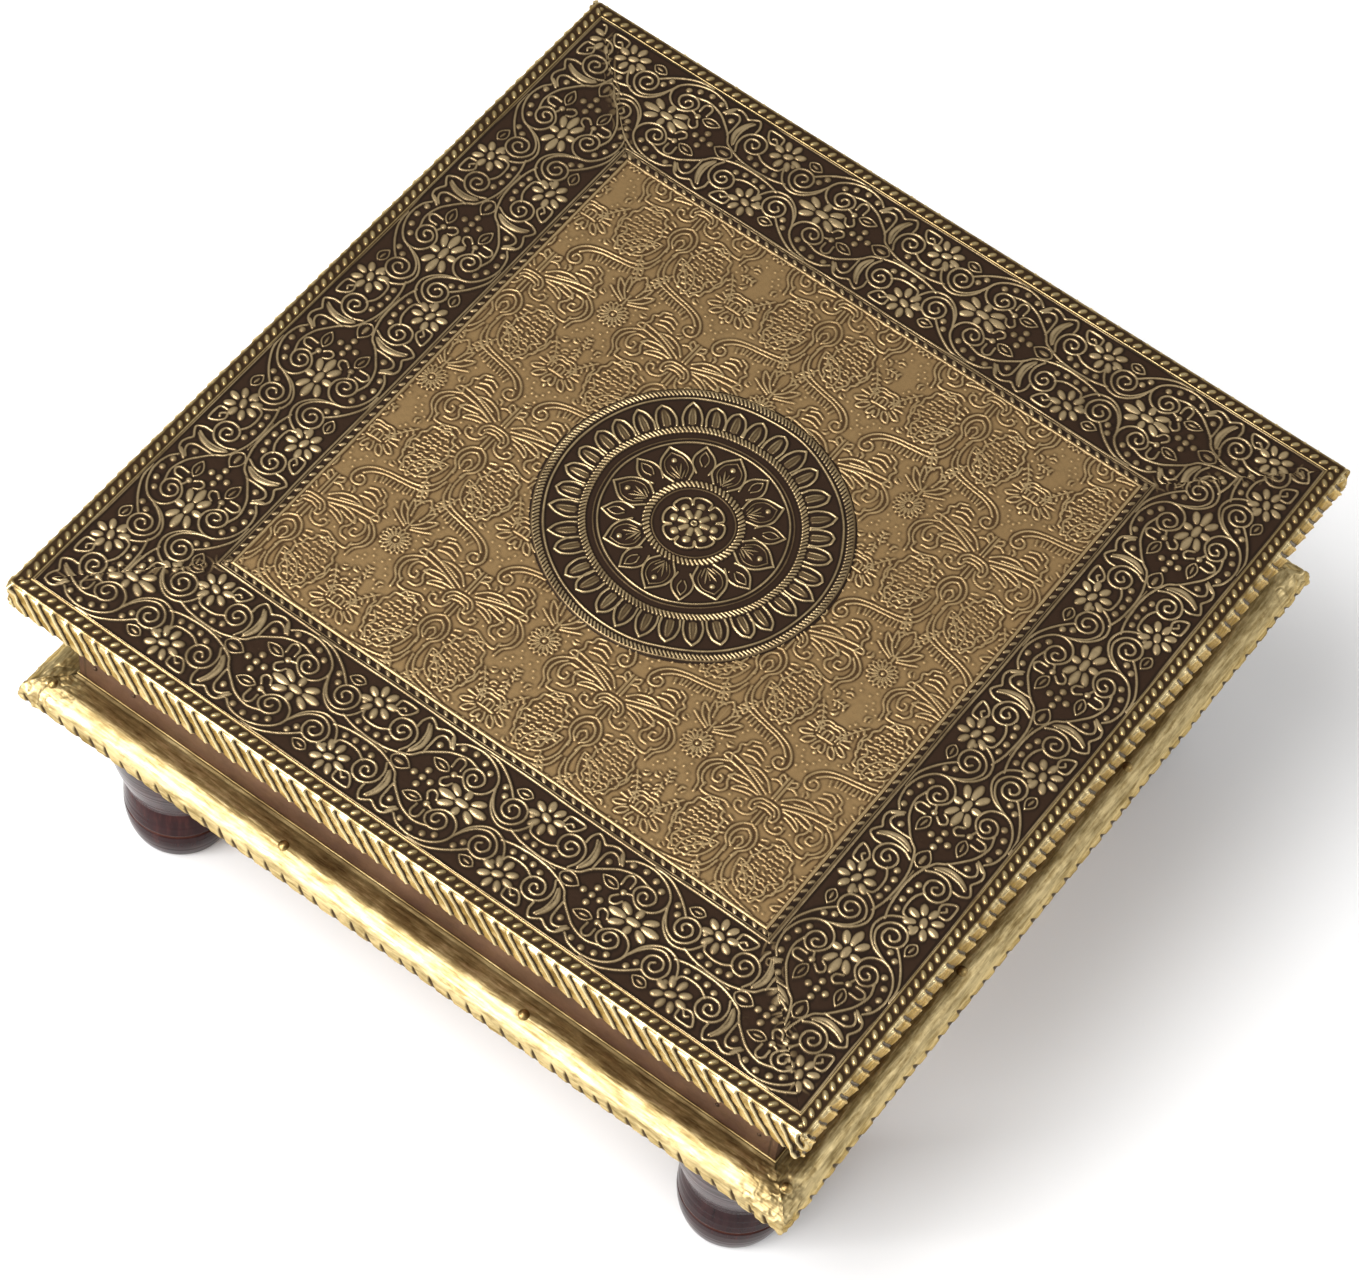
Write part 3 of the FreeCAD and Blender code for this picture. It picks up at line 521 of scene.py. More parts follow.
def medallion_relief(rng):
    """Concentric flowers; each petal is struck by hand, so none sits quite true."""
    art = Relief((-53, -53), (53, 53), 0.15)
    rope_ring(art, 50.4, 1.5, 1.35, 1.0, 0.5)
    for radius, width, height in ((51.6, 0.9, 0.32), (48.2, 1.0, 0.5), (35.0, 0.7, 0.3),
                                  (30.9, 0.9, 0.5), (32.3, 0.6, 0.25), (13.3, 0.6, 0.3)):
        art.stroke(circle((0, 0), radius, 240), width, height)
    rope_ring(art, 35.9, 1.7, 1.35, 1.1, 0.5)
    rope_ring(art, 15.2, 1.7, 1.5, 0.9, 0.55)
    for k in range(34):
        angle = 2 * math.pi * (k + rng.uniform(-0.12, 0.12)) / 34
        tip = 46.4 + rng.uniform(-1.0, 0.5)
        tilt = rng.uniform(-0.5, 0.5)
        for side in (-1, 1):
            edge_line = [(37.4, side * 2.9), (40.5, side * 3.2), (44.2, side * 2.1 + tilt * 0.6),
                         (tip, tilt)]
            struck(art, edge_line, angle, 1.1, 0.6)
            rib = [(38.2, side * 1.0), (41.0, side * 1.0), (43.6, side * 0.5 + tilt * 0.6)]
            struck(art, rib, angle, 0.85, 0.46, taper=0.4)
        body = [(38.4, 0), (41.0, 0), (43.8, tilt * 0.6)]
        struck(art, body, angle, 3.6, 0.26, taper=0.5)
    for k in range(8):
        angle = 2 * math.pi * (k + 0.12) / 8
        for side in (-1, 1):
            large = [(16.6, side * 2.6), (20.5, side * 5.3), (25.0, side * 4.5), (29.8, 0)]
            struck(art, large, angle, 1.05, 0.6)
            inner = [(18.0, side * 1.8), (21.0, side * 3.7), (24.8, side * 3.2), (27.6, 0)]
            struck(art, inner, angle, 0.6, 0.36)
            sprig = [(18.4, 0), (20.5, side * 0.9), (23.0, side * 1.9)]
            struck(art, sprig, angle, 0.9, 0.48, taper=0.6)
            sprig = [(17.6, side * 0.4), (19.0, side * 1.4), (20.6, side * 2.5)]
            struck(art, sprig, angle, 0.8, 0.45, taper=0.6)
            small = [(19.5, side * 2.0), (23.0, side * 3.5), (26.0, side * 3.0), (29.8, 0)]
            struck(art, small, angle + math.pi / 8, 1.0, 0.56)
            small = [(22.4, side * 0.5), (24.4, side * 1.4), (26.0, side * 1.2), (27.8, 0)]
            struck(art, small, angle + math.pi / 8, 0.7, 0.46)
        art.stroke(spin([(18.0, 0), (22.2, 0)], angle), 0.9, 0.45, taper=0.4)
        art.dome(spin([(24.6, 0)], angle)[0], 1.1, 0.6)
        lobe = [(6.6, -2.6), (9.0, -2.9), (10.0, 0), (9.0, 2.9), (6.6, 2.6)]
        art.stroke(spin(flowing(lobe, 0.4), angle + 0.2), 1.05, 0.55)
        art.stroke(spin([(2.6, 0), (4.6, 0), (6.8, 0)], angle + 0.2), 2.4, 0.55, taper=0.5, edge=0.8)
        art.dome(spin([(6.6, 0)], angle + 0.2)[0], 1.6, 0.62)
    art.ring_dot((0, 0), 1.2, 0.6)
    return art


# ---------------------------------------------------------------- mesh building

def soften(field, radius):
    """Box blur of a grid, used to find its hollows."""
    for axis in (0, 1):
        width = 2 * radius + 1
        pad = [(0, 0), (0, 0)]
        pad[axis] = (radius + 1, radius)
        total = np.cumsum(np.pad(field, pad, mode="edge"), axis=axis)
        if axis == 0:
            field = (total[width:] - total[:-width]) / width
        else:
            field = (total[:, width:] - total[:, :-width]) / width
    return field


def build_mesh(name, points, faces, corner_uv, attributes):
    """Object from arrays of points (m), a list of equal-sided face arrays and corner UVs."""
    mesh = bpy.data.meshes.new(name)
    sizes = np.concatenate([np.full(len(f), f.shape[1]) for f in faces])
    corners = np.concatenate([f.ravel() for f in faces]).astype(np.int32)
    starts = np.concatenate([[0], np.cumsum(sizes)[:-1]]).astype(np.int32)
    mesh.vertices.add(len(points))
    mesh.vertices.foreach_set("co", np.asarray(points, np.float32).ravel())
    mesh.loops.add(len(corners))
    mesh.loops.foreach_set("vertex_index", corners)
    mesh.polygons.add(len(sizes))
    mesh.polygons.foreach_set("loop_start", starts)
    mesh.polygons.foreach_set("use_smooth", np.full(len(sizes), True))
    layer = mesh.uv_layers.new(name="OFBake")
    layer.data.foreach_set("uv", np.asarray(corner_uv, np.float32).ravel())
    for key, values in attributes.items():
        attribute = mesh.attributes.new(key, "FLOAT", "POINT")
        attribute.data.foreach_set("value", np.asarray(values, np.float32).ravel())
    mesh.update(calc_edges=True)
    piece = bpy.data.objects.new(name, mesh)
    bpy.context.scene.collection.objects.link(piece)
    return piece


def closed_rings(rows, columns):
    """Vertex numbers of a grid whose rows are closed rings, their neighbours and the quads."""
    index = np.arange(rows * columns).reshape(rows, columns)
    beside = np.roll(index, -1, axis=1)
    quads = np.stack([index[:-1], index[1:], beside[1:], beside[:-1]], -1).reshape(-1, 4)
    return index, beside, quads


def fan_to(first, second, hub):
    """Triangles from a run of edges to one vertex."""
    return np.stack([first, second, np.full(len(first), hub)], -1)


def quad_uv(low_u, high_u, low_v, high_v):
    """Corner UVs of a grid of quads."""
    return np.stack([low_u, low_v, high_u, low_v, high_u, high_v, low_u, high_v], -1).reshape(-1, 2)


def relief_attributes(raised, crease, extra):
    """Attributes the materials read, with zeros for the vertices added after the relief."""
    pad = np.zeros(extra)
    return {"raised": np.append(raised.ravel(), pad), "crease": np.append(crease.ravel(), pad)}


def worn(height, hollow, full):
    """How raised and how creased each point of an embossed grid is, 0 to 1."""
    return np.clip(height / full, 0, 1), np.clip((soften(height, 3) - height) / hollow, 0, 1)


def turn_xy(points, degrees):
    angle = math.radians(degrees)
    c, s = round(math.cos(angle), 12), round(math.sin(angle), 12)
    turned = np.array(points, float)
    turned[..., 0] = points[..., 0] * c - points[..., 1] * s
    turned[..., 1] = points[..., 0] * s + points[..., 1] * c
    return turned


def flat_sheet(name, x, y, top, underside, raised, crease, degrees=0.0):
    """Closed sheet: relief grid on top, straight sides and a flat underside (mm)."""
    rows, columns = x.shape
    grid = np.stack([x, y, top], -1)
    index = np.arange(rows * columns).reshape(rows, columns)
    ring = np.concatenate([index[0, :-1], index[:-1, -1], index[-1, :0:-1], index[:0:-1, 0]])
    flat = grid.reshape(-1, 3)
    low = flat[ring].copy()
    low[:, 2] = underside
    centre = np.array([[x.mean(), y.mean(), underside]])
    points = turn_xy(np.vstack([flat, low, centre]), degrees)
    quads = np.stack([index[:-1, :-1], index[:-1, 1:], index[1:, 1:], index[1:, :-1]], -1)
    quads = quads.reshape(-1, 4)
    first = rows * columns
    lower = first + np.arange(len(ring))
    after = np.roll(lower, -1)
    skirt = np.stack([np.roll(ring, -1), ring, lower, after], -1)
    fan = fan_to(after, lower, first + len(ring))
    span = np.array([np.ptp(x), np.ptp(y)])
    plan = (flat[:, :2] - [x.min(), y.min()]) / span * 0.93
    uv = [plan[quads.ravel()]]
    along = np.arange(len(ring)) / len(ring)
    ahead = along + 1 / len(ring)
    level = np.full(len(ring), 0.95)
    uv.append(np.stack([ahead, level, along, level, along, level + 0.01, ahead, level + 0.01],
                       -1).reshape(-1, 2))
    uv.append(np.stack([ahead, level + 0.02, along, level + 0.02, (along + ahead) / 2,
                        level + 0.04], -1).reshape(-1, 2))
    attributes = relief_attributes(raised, crease, len(ring) + 1)
    clockwise = (x[0, 1] - x[0, 0]) * (y[1, 0] - y[0, 0]) - (x[1, 0] - x[0, 0]) * (y[0, 1] - y[0, 0])
    faces = [quads, skirt, fan]
    if clockwise < 0:
        faces = [f[:, ::-1] for f in faces]
        uv = [u.reshape(len(f), -1, 2)[:, ::-1].reshape(-1, 2) for u, f in zip(uv, faces)]
    return build_mesh(name, points * MM, faces, np.vstack(uv), attributes)


def run_section(profile, step_fine, fine_from, fine_to, gauge):
    """Section of a bent sheet: outer face sampled along its length, then the inner face back.

    profile is the outer face as a polyline (outward, height). Returns outer points, normals,
    the length along the face and the inner face points.
    """
    corners = np.array(profile, float)
    gaps = np.linalg.norm(np.diff(corners, axis=0), axis=1)
    reach = np.concatenate([[0], np.cumsum(gaps)])
    fine = np.arange(fine_from, fine_to, step_fine)
    before = np.linspace(0, fine_from, 6)[:-1]
    after = np.linspace(fine_to, reach[-1], 6)
    length = np.concatenate([before, fine, after])
    outer = np.column_stack([np.interp(length, reach, corners[:, k]) for k in (0, 1)])
    tangent = np.gradient(outer, axis=0)
    tangent /= np.maximum(np.linalg.norm(tangent, axis=1), 1e-9)[:, None]
    normal = np.column_stack([-tangent[:, 1], tangent[:, 0]])
    pick = np.unique(np.linspace(0, len(outer) - 1, 26).astype(int))
    inner = (outer - normal * gauge)[pick][::-1]
    return outer, normal, length, inner


def sweep_side(name, profile, fine, gauge, stations, rounding, relief, degrees):
    """One side of a mitred, bent sheet. relief(X, length) gives push, raised, crease."""
    outer, normal, length, inner = run_section(profile, *fine, gauge)
    section = np.vstack([outer, inner])
    half = np.linspace(0, 1, stations)
    turns = np.radians(np.linspace(0, 45, 14)[1:])
    reach = outer[:, 0].max()
    count = len(section)
    radius = np.clip(section[:, 0] - rounding[0], 0.05, rounding[1])
    straight = section[:, 0] - radius
    x_arc = straight + radius * np.sin(turns)[:, None]
    out_arc = straight + radius * np.cos(turns)[:, None]
    x_all = np.vstack([half[:, None] * straight, x_arc])
    out_all = np.vstack([np.repeat(section[None, :, 0], stations, axis=0), out_arc])
    heading = np.concatenate([np.zeros(stations), turns])
    x_all = np.vstack([-x_all[::-1], x_all[1:]])
    out_all = np.vstack([out_all[::-1], out_all[1:]])
    heading = np.concatenate([-heading[::-1], heading[1:]])
    rows = len(x_all)
    z_all = np.repeat(section[None, :, 1], rows, axis=0)
    outside = len(outer)
    run = np.sign(x_all[:, :outside]) * np.minimum(np.abs(x_all[:, :outside]), reach)
    run = run + np.degrees(heading)[:, None] * 0.045 * (rounding[1] / 4)
    face = np.repeat(length[None, :], rows, axis=0)
    push, raised, crease = relief(run, face)
    lead_x = np.sin(heading)[:, None] * normal[None, :, 0]
    lead_out = np.cos(heading)[:, None] * normal[None, :, 0]
    x_all[:, :outside] += push * lead_x
    out_all[:, :outside] += push * lead_out
    z_all[:, :outside] += push * normal[None, :, 1]
    points = np.stack([x_all, -out_all, z_all], -1).reshape(-1, 3)
    index, beside, quads = closed_rings(rows, count)
    caps = np.stack([points[index[0]].mean(0), points[index[-1]].mean(0)])
    start_cap = fan_to(index[0], beside[0], rows * count)
    end_cap = fan_to(beside[-1], index[-1], rows * count + 1)
    u = np.linspace(0, 0.98, rows)
    v = np.concatenate([length / length[-1] * 0.85, np.linspace(0.87, 0.98, count - outside)])
    v_next = np.append(v[1:], 0.99)
    low_u, high_u = u[:-1, None] * np.ones(count), u[1:, None] * np.ones(count)
    low_v, high_v = np.repeat(v[None], rows - 1, 0), np.repeat(v_next[None], rows - 1, 0)
    uv = quad_uv(low_u, high_u, low_v, high_v)
    cap_uv = np.tile([[0.985, 0.99], [0.99, 0.99], [0.99, 0.995]], (2 * count, 1))
    points = turn_xy(np.vstack([points, caps]), degrees)
    pad = np.zeros((rows, count - outside))
    attributes = relief_attributes(np.hstack([raised, pad]), np.hstack([crease, pad]), 2)
    return build_mesh(name, points * MM, [quads, start_cap, end_cap], np.vstack([uv, cap_uv]),
                      attributes)


def arc_points(centre, radius, start, end, count=14):
    angle = np.radians(np.linspace(start, end, count))
    return [(centre[0] + radius * math.cos(a), centre[1] + radius * math.sin(a)) for a in angle]


def smoothstep(low, high, value):
    t = np.clip((value - low) / (high - low), 0, 1)
    return t * t * (3 - 2 * t)


# ---------------------------------------------------------------- sub-parts

def finish_piece(piece, node, material):
    piece.data.materials.append(material)
    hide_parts(node)
    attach(piece, "root")
    return piece


def make_border(side, degrees, design, row, rng, material):
    """Mitred border strip with its scrolls; the strikes of both strips overlap at a corner."""
    y = np.arange(HALF_FIELD, EDGE_INNER + 0.01, 0.285)
    y[-1] = EDGE_INNER
    s = np.linspace(-1, 1, 900)
    yy = np.repeat(y[:, None], len(s), axis=1)
    xx = yy * s[None, :]
    offset = rng.uniform(0, SCROLL_PERIOD) if side != "front" else 38.1
    shift = 0.28 * wander(rng, xx, yy, 19.0)
    drift = 0.28 * wander(rng, xx, yy, 23.0)
    height = border_height(design, row, xx + shift, yy + drift, offset)
    near = yy - np.abs(xx)
    other = border_height(design, row, yy * np.sign(xx) + drift, np.abs(xx) + 7.0 + shift,
                          offset + 21)
    height = np.maximum(height, other * 0.75 * np.clip(1 - near / 6.0, 0, 1))
    height *= 0.84 + 0.16 * wander(rng, xx, yy, 9.0)
    ground = TOP_FACE - 0.06 + 0.07 * wander(rng, xx, yy, 14.0) + 0.02 * wander(rng, xx, yy, 1.1)
    piece = flat_sheet("embossed_border_" + side, xx, -yy, ground + height,
                       TOP_FACE - SHEET_GAUGE, *worn(height, 0.12, 0.46), degrees)
    return finish_piece(piece, "border_sheet_" + side, material)


def make_field(design, rng, material):
    """Centre sheet with the half-drop leaf pattern inside a narrow raised line."""
    line = np.linspace(-HALF_FIELD, HALF_FIELD, 700)
    xx, yy = np.meshgrid(line, line)
    shift = 0.45 * wander(rng, xx, yy, 17.0)
    drift = 0.45 * wander(rng, xx, yy, 21.0)
    height = 0.85 * field_height(design, xx + shift, yy + drift)
    height *= 0.80 + 0.20 * wander(rng, xx, yy, 8.0)
    reach = np.maximum(np.abs(xx), np.abs(yy))
    height = np.maximum(height * (reach < HALF_FIELD - 1.4), ridge(reach - HALF_FIELD + 0.7, 1.2, 0.36))
    ground = TOP_FACE - 0.05 + 0.05 * wander(rng, xx, yy, 16.0)
    piece = flat_sheet("embossed_field", xx, yy, ground + height, TOP_FACE - SHEET_GAUGE,
                       *worn(height, 0.10, 0.38))
    return finish_piece(piece, "centre_sheet", material)


def make_medallion(rng, material):
    """Struck disc laid on the centre sheet, with a slightly rolled rim."""
    design = medallion_relief(rng)
    radii = np.linspace(0.25, MEDALLION_RADIUS, 205)
    angles = np.linspace(0, 2 * math.pi, 1181)[:-1]
    rr, aa = np.meshgrid(radii, angles, indexing="ij")
    xx, yy = rr * np.cos(aa), rr * np.sin(aa)
    wobble = 0.4 * wander(rng, xx, yy, 15.0)
    height = design.sample(xx + wobble, yy + 0.4 * wander(rng, xx, yy, 13.0))
    height *= 0.85 + 0.15 * wander(rng, xx, yy, 8.0)
    raised, crease = worn(height, 0.12, 0.46)
    ground = MEDALLION_FACE - 0.1 - 0.28 * smoothstep(51.4, 52.5, rr)
    top = ground + height + 0.05 * wander(rng, xx, yy, 11.0)
    rows, columns = rr.shape
    index, beside, quads = closed_rings(rows, columns)
    flat = np.stack([xx, yy, top], -1).reshape(-1, 3)
    low = flat[index[-1]].copy()
    low[:, 2] = MEDALLION_FACE - SHEET_GAUGE
    lower = rows * columns + np.arange(columns)
    after = np.roll(lower, -1)
    middle = lower[-1] + 1
    skirt = np.stack([index[-1], lower, after, beside[-1]], -1)
    fan = fan_to(after, lower, middle)
    hub = fan_to(index[0], beside[0], middle + 1)
    points = np.vstack([flat, low, [[0, 0, MEDALLION_FACE - SHEET_GAUGE]],
                        [[0, 0, top[0].mean()]]])
    plan = flat[:, :2] / (2 * MEDALLION_RADIUS) * 0.94 + 0.47
    along = np.arange(columns) / columns
    ahead = along + 1 / columns
    level = np.full(columns, 0.955)
    uv = [plan[quads.ravel()],
          np.stack([along, level, along, level + 0.01, ahead, level + 0.01, ahead, level],
                   -1).reshape(-1, 2),
          np.stack([ahead, level + 0.015, along, level + 0.015, along, level + 0.035],
                   -1).reshape(-1, 2),
          np.hstack([plan[index[0]], plan[beside[0]], np.full((columns, 2), 0.47)]).reshape(-1, 2)]
    piece = build_mesh("struck_medallion", points * MM, [quads, skirt, fan, hub], np.vstack(uv),
                       relief_attributes(raised, crease, columns + 2))
    return finish_piece(piece, "medallion", material)


FLUTE_PITCH = 5.6
ARRIS = 5.4
FLUTES = 140
RIM_START = 19.4


def make_edge(side, degrees, row, rng, material):
    """Edge strip: a leaf row on top, a crisp arris, then slanted flutes down the upright face."""
    r = EDGE_ROUND
    profile = [(EDGE_INNER, TOP_FACE), (HALF_TOP - r, TOP_FACE)]
    profile += arc_points((HALF_TOP - r, TOP_FACE - r), r, 90, 0, 6)
    profile += [(HALF_TOP, EDGE_BOTTOM + r)]
    profile += arc_points((HALF_TOP - r, EDGE_BOTTOM + r), r, 0, -90, 6)
    profile += [(EDGE_INNER, EDGE_BOTTOM)]
    uneven = rng.uniform(-0.5, 0.5, FLUTES)
    depth = TOP_FACE - EDGE_BOTTOM

    def relief(run, face):
        down = np.clip((face - ARRIS) / depth, -0.2, 1.1)
        lean = FLUTE_LEAN * (1 + 0.15 * run / HALF_TOP) * (0.7 * down + 0.3 * smoothstep(0, 1, down))
        place = run - lean + 0.7 * wander(rng, run, face * 0.3, 26.0)
        turn = place / FLUTE_PITCH
        whole = np.floor(turn).astype(int)
        part = np.clip(turn - whole + 0.10 * uneven[whole % FLUTES], 0, 1)
        facet = 0.30 + 0.30 * np.sin(math.pi * part) + 0.22 * part
        groove = np.clip(1.25 - np.abs(part - 0.93) * FLUTE_PITCH / 0.72, 0, 1)
        crest_line = np.clip(1 - np.abs(part - 0.72) * FLUTE_PITCH / 0.8, 0, 1)
        hammered = 0.17 * wander(rng, run, face, 2.3) + 0.12 * wander(rng, run, face, 8.0)
        flute = facet + 0.32 * crest_line + hammered - groove
        live = smoothstep(ARRIS - 0.1, ARRIS + 1.1, face)
        live *= 1 - smoothstep(ARRIS + depth - 1.6, ARRIS + depth - 0.3, face)
        leaf = row.sample(run + 1.2, np.clip(face - 1.15, 0, EDGE_ROW_WIDTH))
        leaf *= np.abs(face - 2.5) < 1.4
        inner_line = ridge(face - 0.3, 0.8, 0.4)
        crest = ridge(face - ARRIS + 0.3, 1.1, 0.34)
        hem = ridge(face - ARRIS - depth + 0.9, 1.5, 0.24)
        hem *= 0.75 + 0.25 * np.cos(2 * math.pi * part)
        corner = smoothstep(HALF_TOP - 7, HALF_TOP - 1, np.abs(run)) * smoothstep(4.4, 6.5, face)
        crumple = corner * (0.5 + 1.0 * wander(rng, run * 1.3, face, 2.4))
        push = np.maximum.reduce([flute * live, crest, hem, leaf, inner_line])
        push = np.maximum(push + crumple * live, -DENT_LIMIT)
        on_top = 1 - smoothstep(ARRIS - 1.1, ARRIS - 0.4, face)
        shine = np.clip(0.34 + 0.55 * facet + 0.5 * crest_line + 1.1 * hammered, 0, 1)
        raised = np.clip(np.maximum(leaf, inner_line) / 0.6, 0, 1) * on_top + (1 - on_top) * shine
        return push, raised, np.clip(groove * live * 1.5, 0, 1)

    piece = sweep_side("fluted_edge_" + side, profile, (0.26, 0.6, 5.5 + depth), SHEET_GAUGE, 470,
                       (HALF_TOP - 1.6, 1.6), relief, degrees)
    return finish_piece(piece, "edge_strip_" + side, material)


def make_plinth(side, degrees, rng, material):
    """Smooth hand-dressed sheet over the plinth, nicked along its lower rim."""
    r = PLINTH_ROUND
    top = LIP_TOP - LIP_HEIGHT
    profile = [(BAND_FACE, LIP_TOP), (BAND_FACE + SHEET_GAUGE, LIP_TOP),
               (BAND_FACE + SHEET_GAUGE + 0.05, top + 0.5), (BAND_FACE + 1.3, top)]
    profile += arc_points((PLINTH_FACE - r, top - r), r, 90, 0, 18)
    profile += [(PLINTH_FACE, PLINTH_BOTTOM + 0.8)]
    profile += arc_points((PLINTH_FACE - 0.8, PLINTH_BOTTOM + 0.8), 0.8, 0, -90, 5)
    profile += [(EDGE_INNER, PLINTH_BOTTOM)]
    spots = np.cumsum(rng.uniform(5.2, 7.8, 60))
    spots = spots - spots.mean()
    spots = spots[np.abs(spots) < PLINTH_FACE - 2]
    sizes = rng.uniform(0.6, 1.15, len(spots))

    def relief(run, face):
        level = face - RIM_START
        dent = np.zeros_like(run)
        rim = run[:, int(np.argmax(run[-1]))]
        for spot, size in zip(spots, sizes):
            near = np.abs(rim - spot) < 4.0
            if not near.any():
                continue
            lean = run[near] - spot - 0.55 * level[near]
            width = 0.42 + 0.30 * np.clip(level[near] + 2.6 * size, 0, 2)
            reach_ = smoothstep(-3.2 * size, -1.2 * size, level[near])
            cut = np.clip(1.3 - np.abs(lean) / np.maximum(width, 0.05), 0, 1) * reach_
            dent[near] = np.maximum(dent[near], cut * (level[near] < 2.4))
        wave = 0.16 * wander(rng, run, face, 21.0) + 0.07 * wander(rng, run, face * 1.5, 6.5)
        grain = 0.018 * wander(rng, run * 0.25, face, 0.8)
        lip = ridge(face - 0.4, 0.8, 0.05)
        near_end = smoothstep(PLINTH_FACE - 34, PLINTH_FACE - 3, np.abs(run)) ** 2
        crumple = (0.75 * wander(rng, run, face, 2.6) + 0.35 * wander(rng, run, face, 1.2)) * near_end
        beaten = 0.10 * wander(rng, run, face, 1.8) * smoothstep(9.0, 18.0, face)
        fold = np.clip(1 - np.abs(wander(rng, run, face, 3.4)) / 0.13, 0, 1) * near_end
        live = smoothstep(0.6, 2.5, face)
        push = (wave + grain + beaten + 0.7 * crumple - 0.4 * fold) * live + lip - 0.6 * dent
        push = np.maximum(push + 0.25 * near_end, -DENT_LIMIT)
        # shine is painted light: darker near the lip as a painted reflection of the dark frieze,
        # brighter down the rounding as a painted highlight, a little brighter on the crumples.
        shine = np.clip(smoothstep(2.5, 15.0, face) + 0.35 * crumple, 0, 1)
        # hollow is a painted shadow: a dark band just below the lip.
        hollow = smoothstep(0.75, 0.95, face) * (1 - smoothstep(1.4, 4.5, face))
        # The crease value is painted shade in the nicks (dent) and along the lip (hollow), and also
        # darkens the folds.
        return push, shine, np.clip(dent * 1.6 + 0.75 * hollow + 0.65 * fold, 0, 1)

    piece = sweep_side("dressed_plinth_" + side, profile, (0.3, 0.3, 23.5), SHEET_GAUGE, 420,
                       (PLINTH_FACE - 1.5, 1.5), relief, degrees)
    return finish_piece(piece, "plinth_sheet_" + side, material)


def make_frieze(side, degrees, rng, material):
    """Upright copper-brown band, slightly rippled between its tacks."""
    low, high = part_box("frieze_band_" + side)[0][2] / MM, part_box("frieze_band_" + side)[1][2] / MM
    profile = [(BAND_FACE, high), (BAND_FACE, low)]

    def relief(run, face):
        fade = smoothstep(0.0, 3.0, face) * (1 - smoothstep(high - low - 5.0, high - low - 1.5, face))
        wave = 0.14 * wander(rng, run, face, 24.0) + 0.05 * wander(rng, run, face, 7.0)
        fold = ridge(np.abs(run) - BAND_FACE + 1.6, 1.0, 0.16)
        return (wave - 0.08) * fade + fold * fade, fade, ridge(np.abs(run) - BAND_FACE + 2.6, 1.1, 1.0)

    piece = sweep_side("copper_band_" + side, profile, (0.7, 0.5, high - low - 0.5), SHEET_GAUGE,
                       230, (BAND_FACE - 0.4, 0.3), relief, degrees)
    return finish_piece(piece, "frieze_band_" + side, material)


def bow(start, end, radius, count=24):
    """Points of a shallow outward arc between two profile points (radius, height)."""
    start, end = np.array(start, float), np.array(end, float)
    chord = end - start
    length = np.linalg.norm(chord)
    outward = np.array([-chord[1], chord[0]]) / length
    if outward[0] < 0:
        outward = -outward
    t = np.linspace(-1, 1, count)
    depth = math.sqrt(radius ** 2 - (length / 2) ** 2)
    rise = np.sqrt(radius ** 2 - (t * length / 2) ** 2) - depth
    return [tuple(start + (a + 1) / 2 * chord + b * outward) for a, b in zip(t, rise)]


def leg_profile():
    """Turned leg from the foot up: groove, long taper, shoulder, cove, bead and tenon."""
    points = [(0.2, 0.0), (8.0, 0.0), (15.6, 0.0), (16.4, 0.3)]
    points += bow((17.0, 1.0), (19.3, 15.8), 45)
    points += [(18.9, 16.1), (18.4, 16.5), (18.4, 16.8), (18.9, 17.1)]
    points += bow((19.3, 17.4), (18.5, 30.0), 150)
    points += bow((18.5, 30.2), (26.3, 70.0), 230, 40)[1:]
    points += [(26.5, 70.6), (26.4, 71.3), (25.6, 72.2), (23.4, 73.8), (21.4, 75.4)]
    points += [(20.7, 76.4), (20.5, 77.4), (20.6, 78.4), (21.6, 78.9), (23.4, 79.0)]
    points += bow((24.0, 79.1), (24.0, 86.8), 5, 16)
    points += [(23.0, 87.0), (12.0, 87.0), (7.0, 87.0), (7.0, 100.0), (7.0, 116.6), (6.6, 117.0)]
    points += [(0.2, 117.0)]
    return np.array(points)


